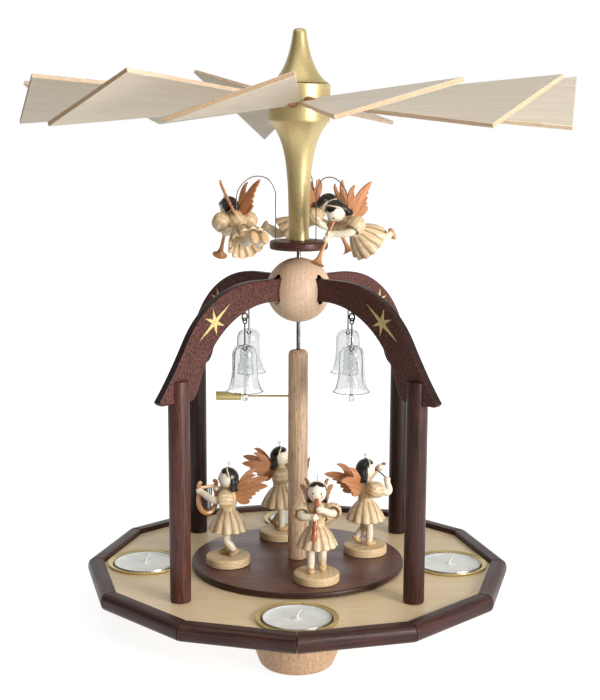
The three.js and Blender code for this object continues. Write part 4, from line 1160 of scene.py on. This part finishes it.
def open_colour(finish):
    """A finish's nodes, the input of its colour and what feeds it, to paint over."""
    wanted = finish.node_tree.nodes["Principled BSDF"].inputs["Base Color"]
    return finish.node_tree, wanted, wanted.links[0].from_socket


def make_dress_wood():
    """The wood of the angels, with painted shade darkening the grooves between the pleats."""
    finish = wood("dress_wood", "ecd8b4", "c39d6a", (2.4, 0.45), 0.25, 0.0, 0.38, coat_weight=0.2)
    tree, wanted, colour = open_colour(finish)
    groove_shade = add_node(tree, "ShaderNodeAttribute", attribute_name="groove_shade").outputs["Fac"]
    share = ramp(tree, groove_shade, 0.25, 0.9, 0.0, 0.75)
    # The grooves between the pleats get painted shade.
    tree.links.new(mix_colours(tree, share, colour, paint("8a6238")), wanted)
    return finish


def bodice():
    belt = WAIST_LEVEL + 0.2
    line = soften([
        (0, belt, 0), (4.7, belt, 0.4), (4.8, belt + 1, 0.5), (4.5, belt + 1.3, 0.3), (5.9, 34.8, 1.8),
        (5.7, 38.4, 1.5), (3.7, 41.0, 1.0), (2.6, 41.5, 0.3), (2.4, 44.0, 0), (0, 44.0, 0),
    ])
    return turn("bodice", line, 40)


dress = weld("dress", coat(lay_grain(skirt()), make_dress_wood()), coat(lay_grain(bodice()), angel_wood))
print("dress faces:", len(dress.data.polygons))

# %% [markdown]
# ## Angels: hair
# The hair is a black cap with a parting at the front and curled locks behind. The cap is a ball from which
# the face is cut free along the hair line, and which then gets its thickness. Head and hair are carved a
# little large and are brought to size together.

# %% Angel hair
HAIR_RADIUS = 6.35


def ball_of(name, radius, place, squeeze=(1, 1, 1), segments=24, rings=16):
    """A ball to start from, squeezed and set in place."""
    bpy.ops.object.select_all(action="DESELECT")
    bpy.ops.mesh.primitive_uv_sphere_add(segments=segments, ring_count=rings, radius=radius)
    bpy.context.object.name = name
    smooth(shift(bpy.context.object, go(*place) @ Matrix.Diagonal((*squeeze, 1))), 60)
    return bpy.context.object


def hair_line(azimuth):
    """How far up the hair starts, in degrees, by the angle from the face."""
    corners = ((0, 60), (12, 50), (35, 41), (70, 38), (90, 35), (102, 26), (112, 4), (120, -30), (128, -50))
    for (left, low), (right, high) in zip(corners, corners[1:]):
        if azimuth <= right:
            return low + (high - low) * (azimuth - left) / (right - left)
    return -52


def hair_cap():
    cap = ball_of("cap", HAIR_RADIUS, (0, 0, 0), (1, 0.95, 1.04), 64, 40)
    only(cap)
    bpy.ops.object.mode_set(mode="EDIT")
    bpy.ops.mesh.select_mode(type="FACE")
    bpy.ops.mesh.select_all(action="DESELECT")
    bpy.ops.object.mode_set(mode="OBJECT")
    for face in cap.data.polygons:
        x, y, z = face.center.normalized()
        face.select = math.degrees(math.asin(z)) < hair_line(abs(math.degrees(math.atan2(y, x))))
    bpy.ops.object.mode_set(mode="EDIT")
    bpy.ops.mesh.delete(type="FACE")
    bpy.ops.mesh.select_mode(type="VERT")
    bpy.ops.object.mode_set(mode="OBJECT")
    apply(cap, "SOLIDIFY", thickness=0.7, offset=0.4)
    for point in cap.data.vertices:
        wave = 0.14 * math.cos(26 * math.atan2(point.co.y, point.co.x))
        point.co += point.co.normalized() * wave * (1 - abs(point.co.normalized().z))
    smooth(cap, 60)
    return shift(cap, go(-0.35, 0, 0.35))


def locks():
    """Curled locks from one ear round the back to the other."""
    made = []
    for azimuth in range(124, 237, 14):
        lead = spin_z(azimuth)
        fall = ((5.4, 0, 0.5), (5.7, 0, -2.6), (5.8, 0, -5.0), (6.9, 0, -6.9), (8.2, 0, -6.5))
        path = [lead @ Vector(knot) for knot in fall]
        made.append(bend("lock", path, [1.5, 1.7, 1.6, 1.2, 0.4], around=3, steps=5))
    return made


hair = coat(weld("hair", hair_cap(), *locks()), hair_paint)
print("hair faces:", len(hair.data.polygons))

# %% [markdown]
# ## Angels: head
# The head is a ball with a small nose, pulled out of it point by point. Eyes are little pressed balls.
# Cheeks and mouth are dabs of paint, so they belong to the finish, and the head keeps each point's place in
# an attribute for them.

# %% Angel head
HEAD_LEVEL = 47.5
HEAD_RADIUS = 5.6
CARVED_RADIUS = 6.2


def make_head_skin():
    """Waxed skin with two rosy cheeks and a small mouth, placed by the face attribute."""
    finish = wood("head_skin", "f3e9d5", "e6d5b6", (3.5, 0.25), 0.2, 0.0, 0.36, coat_weight=0.3)
    tree, wanted, colour = open_colour(finish)
    dabs = [((5.0, side * 3.2, -1.9), 1.5, "dd8f78") for side in (1, -1)]
    dabs.append(((5.8, 0, -2.7), 0.75, "b0503f"))
    for spot, size, tone in dabs:
        ends = {0: bench_place(tree, "face"), 1: spot}
        gap = add_node(tree, "ShaderNodeVectorMath", ends, operation="DISTANCE")
        share = ramp(tree, gap.outputs["Value"], size, 0.45 * size, 0.0, 0.75)
        colour = mix_colours(tree, share, colour, paint(tone))
    tree.links.new(colour, wanted)
    return finish


def head():
    face = ball_of("face", CARVED_RADIUS, (0, 0, 0), (1, 0.95, 1.05), 40, 28)
    kept = face.data.attributes.new("face", "FLOAT_VECTOR", "POINT")
    for point, value in zip(face.data.vertices, kept.data):
        nose = math.exp(-(point.co.y ** 2 + (point.co.z + 0.3) ** 2) / 0.9)
        point.co.x += 0.55 * nose * (point.co.x > 0)
        value.vector = point.co
    return coat(lay_grain(face), head_skin)


def head_extras():
    """Eyes, a ribbon and a looped pin."""
    eyes = [ball_of("eye", 0.8, (5.4, side * 2.5, 0.6), (0.5, 0.85, 1.05), 12, 8) for side in (-1, 1)]
    for painted in eyes:
        coat(painted, face_paint)
    turns = [math.radians(20 + 140 * i / 12) for i in range(13)]
    band = [(2.8 * math.sin(t) - 2.2, 6.75 * math.cos(t), 7.3 * math.sin(t)) for t in turns]
    ribbon = coat(bend("ribbon", band, 0.5), ribbon_paint)
    pin = bend("pin", [(-0.6, 0, 6.4), (-0.7, 0, 7.9), (-0.8, 0, 9.4)], 0.2, around=2)
    eye = shift(bend("pin_eye", ring_points(0.8), 0.2, closed=True, around=2), go(-0.8, 0, 10.3))
    return [*eyes, ribbon, coat(weld("looped_pin", pin, eye), steel)]


head_skin = make_head_skin()
top = weld("top", head(), hair, *head_extras())
shift(top, go(0, 0, HEAD_LEVEL) @ Matrix.Scale(HEAD_RADIUS / CARVED_RADIUS, 4))
first_figure = weld("first_figure", dress, top)
print("figure faces:", len(first_figure.data.polygons))

# %% [markdown]
# ## Angels: sleeves and arms
# The sleeves are puffed cups with soft folds, open towards the arm. Arms are bent rods that thicken to a
# hand. A curve with a radius at each point gives such a rod in one go, for any place of the hand.

# %% Angel sleeves and arms
SHOULDER = 36.9
SHOULDER_HALF = 9.0
sleeve_line = soften([
    (0, -4.2, 0), (3.6, -3.5, 1.8), (5.3, 0.4, 2.4), (4.8, 3.8, 1.3), (4.4, 4.5, 0.4), (3.7, 4.0, 0.4),
    (2.8, 0.9, 0.8), (0, 0.4, 0),
])
first_sleeve = coat(lay_grain(flute(turn("first_sleeve", sleeve_line, 48), 10, 0.03, -4.2, 10)), angel_wood)


def towards(direction):
    """A turn that takes Z to a direction."""
    return Vector((0, 0, 1)).rotation_difference(Vector(direction)).to_matrix().to_4x4()


def arm(side, hand, reach=0):
    """A limb in its sleeve, from the shoulder to a hand, with the elbow put forward by a reach."""
    shoulder = Vector((0, side * SHOULDER_HALF, SHOULDER))
    elbow = Vector((5.6 + reach, side * (SHOULDER_HALF + max(4 - reach, 0)), 34.5 - reach / 2))
    hand = Vector(hand)
    mid = shoulder * 0.25 + elbow * 0.5 + hand * 0.25
    ahead = (hand - mid).normalized()
    points = [shoulder, shoulder.lerp(mid, 0.55), mid, hand - ahead * 2.2, hand, hand + ahead * 1.7]
    limb = coat(lay_grain(bend("limb", points, [2.2, 2.3, 2.25, 1.85, 2.2, 0.9], around=4)), angel_skin)
    puff = copy_of(first_sleeve, "puff")
    return [limb, shift(puff, Matrix.Translation(shoulder) @ towards(mid - shoulder))]


print("sleeve faces:", len(first_sleeve.data.polygons))

# %% [markdown]
# ## Angels: legs
# A leg is a rod with a bent knee, and its shoe is a pressed ball with a flat sole. Hip and knee are given
# as angles, so one helper makes legs that stand and legs that fly.

# %% Angel legs
HIP_HALF = 3.4
THIGH_LENGTH = 9.5
SHIN_LENGTH = 8.0


def leg(side, swing, knee):
    """A leg in its shoe, swung back at the hip and bent at the knee, both in degrees."""
    hip = Vector((0, side * HIP_HALF, HEM_LEVEL + 4))
    shin = rotate("Y", swing + knee)
    bent = hip + rotate("Y", swing) @ Vector((0, 0, -THIGH_LENGTH))
    ankle = bent + shin @ Vector((0, 0, -SHIN_LENGTH))
    points = [hip, hip.lerp(bent, 0.6), bent, bent.lerp(ankle, 0.5), ankle]
    stocking = coat(lay_grain(bend("stocking", points, [2.4, 2.4, 2.3, 2.4, 1.9], around=4)), angel_skin)
    shoe = ball_of("shoe", 1, (0.9, 0, -1.0), (3.9, 2.7, 1.7), 20, 14)
    for point in shoe.data.vertices:
        point.co.z = max(point.co.z, -2.4)
    coat(lay_grain(shoe), shoe_wood)
    return [stocking, shift(shoe, Matrix.Translation(ankle) @ shin)]


print("leg length in mm:", THIGH_LENGTH + SHIN_LENGTH)

# %% [markdown]
# ## Angels: wings
# The wings are sawn from thin reddish veneer, with stepped feathers along the lower edge and two curved
# tips. The outline is drawn for a wing of length one, and each copy is turned to the way it spreads.

# %% Angel wings
WING_LENGTH = 22.0
WING_THICK = 1.1
CHEST_LEVEL = 37.5


def wing_outline():
    lower = flow((0, -0.06), (0.0, -0.42), (0.36, -0.33), steps=8)
    feathers = [(0.41, -0.29), (0.38, -0.22), (0.49, -0.20), (0.47, -0.13)]
    feathers += [(0.61, -0.10), (0.6, -0.03), (0.73, -0.02)]
    finger = flow((0.73, 0.03), (0.88, 0.04), (1.0, 0.12), steps=4)
    finger += flow((1.0, 0.12), (0.8, 0.27), (0.43, 0.2), steps=6)[1:]
    crescent = flow((0.43, 0.2), (0.5, 0.36), (0.7, 0.43), steps=5)[1:]
    upper = flow((0.7, 0.43), (0.52, 0.55), (0.28, 0.42), (0, 0.06), steps=10)[1:]
    return [(WING_LENGTH * x, WING_LENGTH * y) for x, y in (*lower, *feathers, *finger, *crescent, *upper)]


first_wing = ease(saw("first_wing", wing_outline(), WING_THICK), 0.2, 1)
coat(lay_grain(first_wing, (1, 0.2, 0)), wing_veneer)


def wing(side, back, out, up):
    """One wing, spread from the shoulder blades by so much backwards, outwards and upwards."""
    along = Vector((-back, side * out, up)).normalized()
    across = (Vector((0, 0, 1)) - along * along.z).normalized()
    frame_turn = Matrix((along, across, along.cross(across))).transposed().to_4x4()
    return shift(copy_of(first_wing, "wing"), go(-4.2, side * 2, CHEST_LEVEL + 2) @ frame_turn)


print("wing points:", len(first_wing.data.vertices))

# %% [markdown]
# ## Angels: horn and recorder
# Both are turned along their length and aimed from the mouth. The horn's bell is hollow, as it is seen from
# the front. The hands are placed along the horn and before the chest, by the same aims.

# %% Horn and recorder
MOUTH = Vector((5.3, 0, HEAD_LEVEL - 2.2))
HORN_DIP = math.radians(10)
HORN_AIM = Vector((math.cos(HORN_DIP), 0, -math.sin(HORN_DIP)))


def blown(piece, direction):
    return shift(piece, Matrix.Translation(MOUTH) @ towards(direction))


def horn(length):
    pipe = flow((0.75, 1.2), (1.0, length - 6), (1.3, length - 5), steps=6)
    outside = flow((1.3, length - 5), (1.8, length - 1.2), (4.5, length - 0.3), steps=8)
    inside = flow((4.1, length - 0.1), (1.5, length - 1.1), (0.6, length - 4.5), steps=6)
    line = [(0, 0), (0.8, 0), (1.15, 0.5), *pipe, *outside[1:], (4.4, length), *inside, (0, length - 5)]
    return blown(coat(lay_grain(turn("horn", line, 28)), horn_wood), HORN_AIM)


def recorder():
    line = soften([
        (0, 0, 0), (0.9, 0, 0.2), (1.35, 2.6, 0.4), (1.7, 3.0, 0.2), (1.7, 3.7, 0.2), (1.4, 4.1, 0.2),
        (1.45, 15.5, 0.2), (1.85, 16.0, 0.2), (1.85, 16.9, 0.2), (1.5, 17.3, 0.2), (1.6, 20.4, 0.2),
        (1.9, 20.9, 0.2), (1.75, 23.6, 0.2), (1.4, 24, 0.1), (0.7, 23.8, 0), (0.7, 21, 0), (0, 21, 0),
    ])
    pipe = coat(lay_grain(turn("pipe", line, 24)), recorder_wood)
    # The finger holes are dark dots, painted shade where the holes are.
    holes = [coat(ball_of("hole", 0.42, (1.3, 0, level), (0.5, 1, 1), 10, 6), face_paint)
             for level in (6, 8, 10, 12, 14)]
    return blown(weld("recorder", pipe, *holes), (0.28, -0.08, -1))


def along_horn(distance):
    return MOUTH + HORN_AIM * distance


def chest_front(left, up):
    return Vector((10.1, left, CHEST_LEVEL + up))


print("the mouth is at", [round(x, 1) for x in MOUTH])

# %% [markdown]
# ## Angels: lyre and violin
# The lyre is a bent frame with a yoke and dark strings. The violin is a sawn body with a fingerboard, held
# to the chin, and a thin bow lies across it. Their places are named, because the hands have to meet them.

# %% Lyre and violin
LYRE_CENTRE = (12.1, 0, 35.4)
LYRE_TURN = -60
NECK_LEVEL = 41.6
VIOLIN_CENTRE = Vector((7.5, 3, NECK_LEVEL + 3.4))
VIOLIN_RISE = 18
VIOLIN_TILT = 25


def lyre():
    half = [(-4.0, 10.3), (-5.4, 9.4), (-5.2, 5.5), (-5.9, -0.5), (-4.3, -6.4), (0, -9.2)]
    line = [(0, x, z) for x, z in half] + [(0, -x, z) for x, z in reversed(half[:-1])]
    thick = [1.0, 1.3, 1.3, 1.45, 1.55]
    bow = coat(lay_grain(bend("bow", line, [*thick, 1.6, *reversed(thick)])), horn_wood)
    yoke = bend("yoke", [(0, -6.4, 7.2), (0, 0, 6.8), (0, 6.4, 7.2)], [0.8, 1.0, 0.8])
    coat(lay_grain(yoke), shoe_wood)
    strings = []
    for y in (-2.8, -1.4, 0, 1.4, 2.8):
        string = bend("string", [(0.4, y, 7.0), (0.4, 0.9 * y, 0), (0.4, 0.75 * y, -8.0)], 0.42, around=1)
        strings.append(coat(string, face_paint))
    return shift(weld("lyre", bow, yoke, *strings), go(*LYRE_CENTRE) @ spin_z(LYRE_TURN))


def on_lyre(side):
    return go(*LYRE_CENTRE) @ spin_z(LYRE_TURN + 90) @ Vector((5.5 * side, 0, 5.1))


def on_bow(distance):
    return VIOLIN_CENTRE + Vector((-0.6, 0, 2.4)) + Vector((0.32, -0.83, -0.46)) * distance


def violin():
    lower = flow((-3.75, 0), (-3.75, 2.9), (-1.2, 2.5), steps=6)
    waist = flow((-1.2, 2.5), (0, 1.0), (1.2, 2.0), steps=5)
    upper = flow((1.2, 2.0), (3.0, 2.4), (3.0, 0.8), steps=5)
    half = [*lower, *waist[1:], *upper[1:]]
    outline = half + [(x, -y) for x, y in reversed(half[1:])]
    body = coat(lay_grain(ease(saw("body", outline, 2.0), 0.35, 2), (1, 0, 0)), recorder_wood)
    neck = box("neck", (2.6, -0.55, 0.2), (8.6, 0.55, 1.4))
    coat(lay_grain(ease(neck, 0.25, 2), (1, 0, 0)), face_paint)
    scroll = coat(lay_grain(ball_of("scroll", 1.0, (8.8, 0, 0.7), (0.9, 0.8, 1.1), 16, 10)), recorder_wood)
    strings = [coat(bend("string", [(-2.6, y, 1.5), (2, y, 1.75), (8.2, y, 1.6)], 0.12, around=1), dark_wire)
               for y in (-0.35, 0, 0.35)]
    fiddle = weld("fiddle", body, neck, scroll, *strings)
    held = rotate("Y", -VIOLIN_RISE) @ rotate("X", -VIOLIN_TILT)
    shift(fiddle, Matrix.Translation(VIOLIN_CENTRE) @ held)
    stick = coat(bend("stick", [on_bow(0), on_bow(7) + Vector((0, 0, 0.4)), on_bow(14)], 0.4), face_paint)
    return weld("violin", fiddle, stick)


def on_violin(distance):
    rise = math.radians(VIOLIN_RISE)
    return VIOLIN_CENTRE + Vector((math.cos(rise), 0, math.sin(rise))) * distance


print("a hand on the violin is at", [round(x, 1) for x in on_violin(5.5)])

# %% [markdown]
# ## Angels: the four on the table
# Each stands on a round wooden stand. The copies share the dress and head, and differ in their arms and
# instrument. They ride on the rotor, as the table does.

# %% Standing angels
STAND_FLOOR = 34.0
FIGURE_RING = 43.0
STAND_RADIUS = 13.3
STAND_LOW = -4.7
STAND_HIGH = 0.3
SHORT_HORN = 13.0
STANDING_WINGS = (0.9, 0.34, 0.15)
STANDING_LEGS = {1: (-6, 42), -1: (-5, 5)}
stand_line = soften([
    (0, STAND_LOW, 0), (STAND_RADIUS, STAND_LOW, 0.4), (STAND_RADIUS, STAND_HIGH, 1.1), (0, STAND_HIGH, 0),
])
# For each player: the instrument, the left hand, the right hand with its reach, the place and the heading.
PLAYERS = {
    "violin": (violin, on_violin(5.5), (on_bow(12), 11.2), 15, 30),
    "horn": (lambda: horn(SHORT_HORN), along_horn(4), (along_horn(5.5), 0), 105, 0),
    "lyre": (lyre, on_lyre(1), (on_lyre(-1), 0), 195, 180),
    "recorder": (recorder, chest_front(1, 3), (chest_front(-1, -2), 0), 285, 270),
}


def shuffle_grain(piece, step):
    """Cut every copy from another spot of the plank."""
    for value in piece.data.attributes["grain"].data:
        value.vector = Vector(value.vector) + Vector((9.0 * step, 5.0 * step, 31.0 * step))


for number, (player, (instrument, left, right, azimuth, heading)) in enumerate(PLAYERS.items()):
    stand = coat(lay_grain(turn("stand", stand_line, 56), (1, 0, 0)), stand_wood)
    parts = [copy_of(first_figure, "figure"), stand, *arm(1, left), *arm(-1, *right)]
    for side, bends in STANDING_LEGS.items():
        parts += leg(side, *bends)
    parts.append(instrument())
    parts += [wing(side, *STANDING_WINGS) for side in (1, -1)]
    angel = weld(f"carved_angel_{player}", *parts)
    shuffle_grain(angel, number)
    place = spin_z(azimuth) @ go(FIGURE_RING, 0, STAND_FLOOR) @ spin_z(heading - azimuth)
    fit(angel, place, "rotor", "angel_wood", f"angel_{player}")
    print(player, "faces:", len(angel.data.polygons))

# %% [markdown]
# ## Angels: the three that fly
# They blow long horns, lean forward and kick their legs behind them. A bent wire from the carrier disc holds
# each one at its back.

# %% Flying angels
FLYING_RING = 38.0
FLYING_LEVEL = 235.0
LONG_HORN = 26.0
FLYING_WINGS = (0.85, 0.5, 0.15)
FLYING_LEGS = {1: (30, 36), -1: (24, 46)}
LEAN = rotate("Y", 53)
SOCKET_RING = 14.0
CREST_RING = 21.5
CREST_RISE = 37.0
HANGER_WIRE = 0.3
# For each flyer: its place round the shaft and its heading, in degrees.
FLYING = {"left": (195, 118), "right": (-45, 218), "back": (75, -5)}


def on_ring(radius, azimuth, level):
    return spin_z(azimuth) @ Vector((radius, 0, level))


for number, (side, (azimuth, heading)) in enumerate(FLYING.items()):
    parts = [copy_of(first_figure, "figure"), *arm(1, along_horn(8)), *arm(-1, along_horn(11))]
    for across, bends in FLYING_LEGS.items():
        parts += leg(across, *bends)
    parts.append(horn(LONG_HORN))
    parts += [wing(across, *FLYING_WINGS) for across in (1, -1)]
    angel = weld(f"flying_carving_{side}", *parts)
    shuffle_grain(angel, number + 5)
    chest = on_ring(FLYING_RING, azimuth, FLYING_LEVEL)
    place = Matrix.Translation(chest) @ spin_z(heading) @ LEAN @ go(0, 0, -CHEST_LEVEL)
    fit(angel, place, "rotor", "angel_wood", f"flying_angel_{side}")
    back = chest + (spin_z(heading) @ LEAN @ Vector((-2.8, 0, 0)))
    crest = on_ring(CREST_RING, azimuth, CARRIER_HIGH + CREST_RISE)
    path = [on_ring(SOCKET_RING, azimuth, CARRIER_HIGH + rise) for rise in (-3, 5, 13, 20, 25, 28)]
    path += [crest, crest.lerp(back, 0.5) + on_ring(5.5, azimuth, 5.5), back]
    hanger = coat(bend(f"hanging_wire_{side}", path, HANGER_WIRE, steps=12), steel)
    fit(hanger, AS_DRAWN, "rotor", "steel")
discard(first_figure, first_sleeve, first_wing)
print("flying angels:", len(FLYING))

# %% [markdown]
# ## Sizes
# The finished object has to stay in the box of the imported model, so both boxes are kept for comparing.

# %% Sizes and finish
boxes = {"cad": [list(corner) for corner in cad_box], "visual": [list(corner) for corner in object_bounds()]}
for which, corners in boxes.items():
    print(which, [[round(1000 * x, 1) for x in corner] for corner in corners])
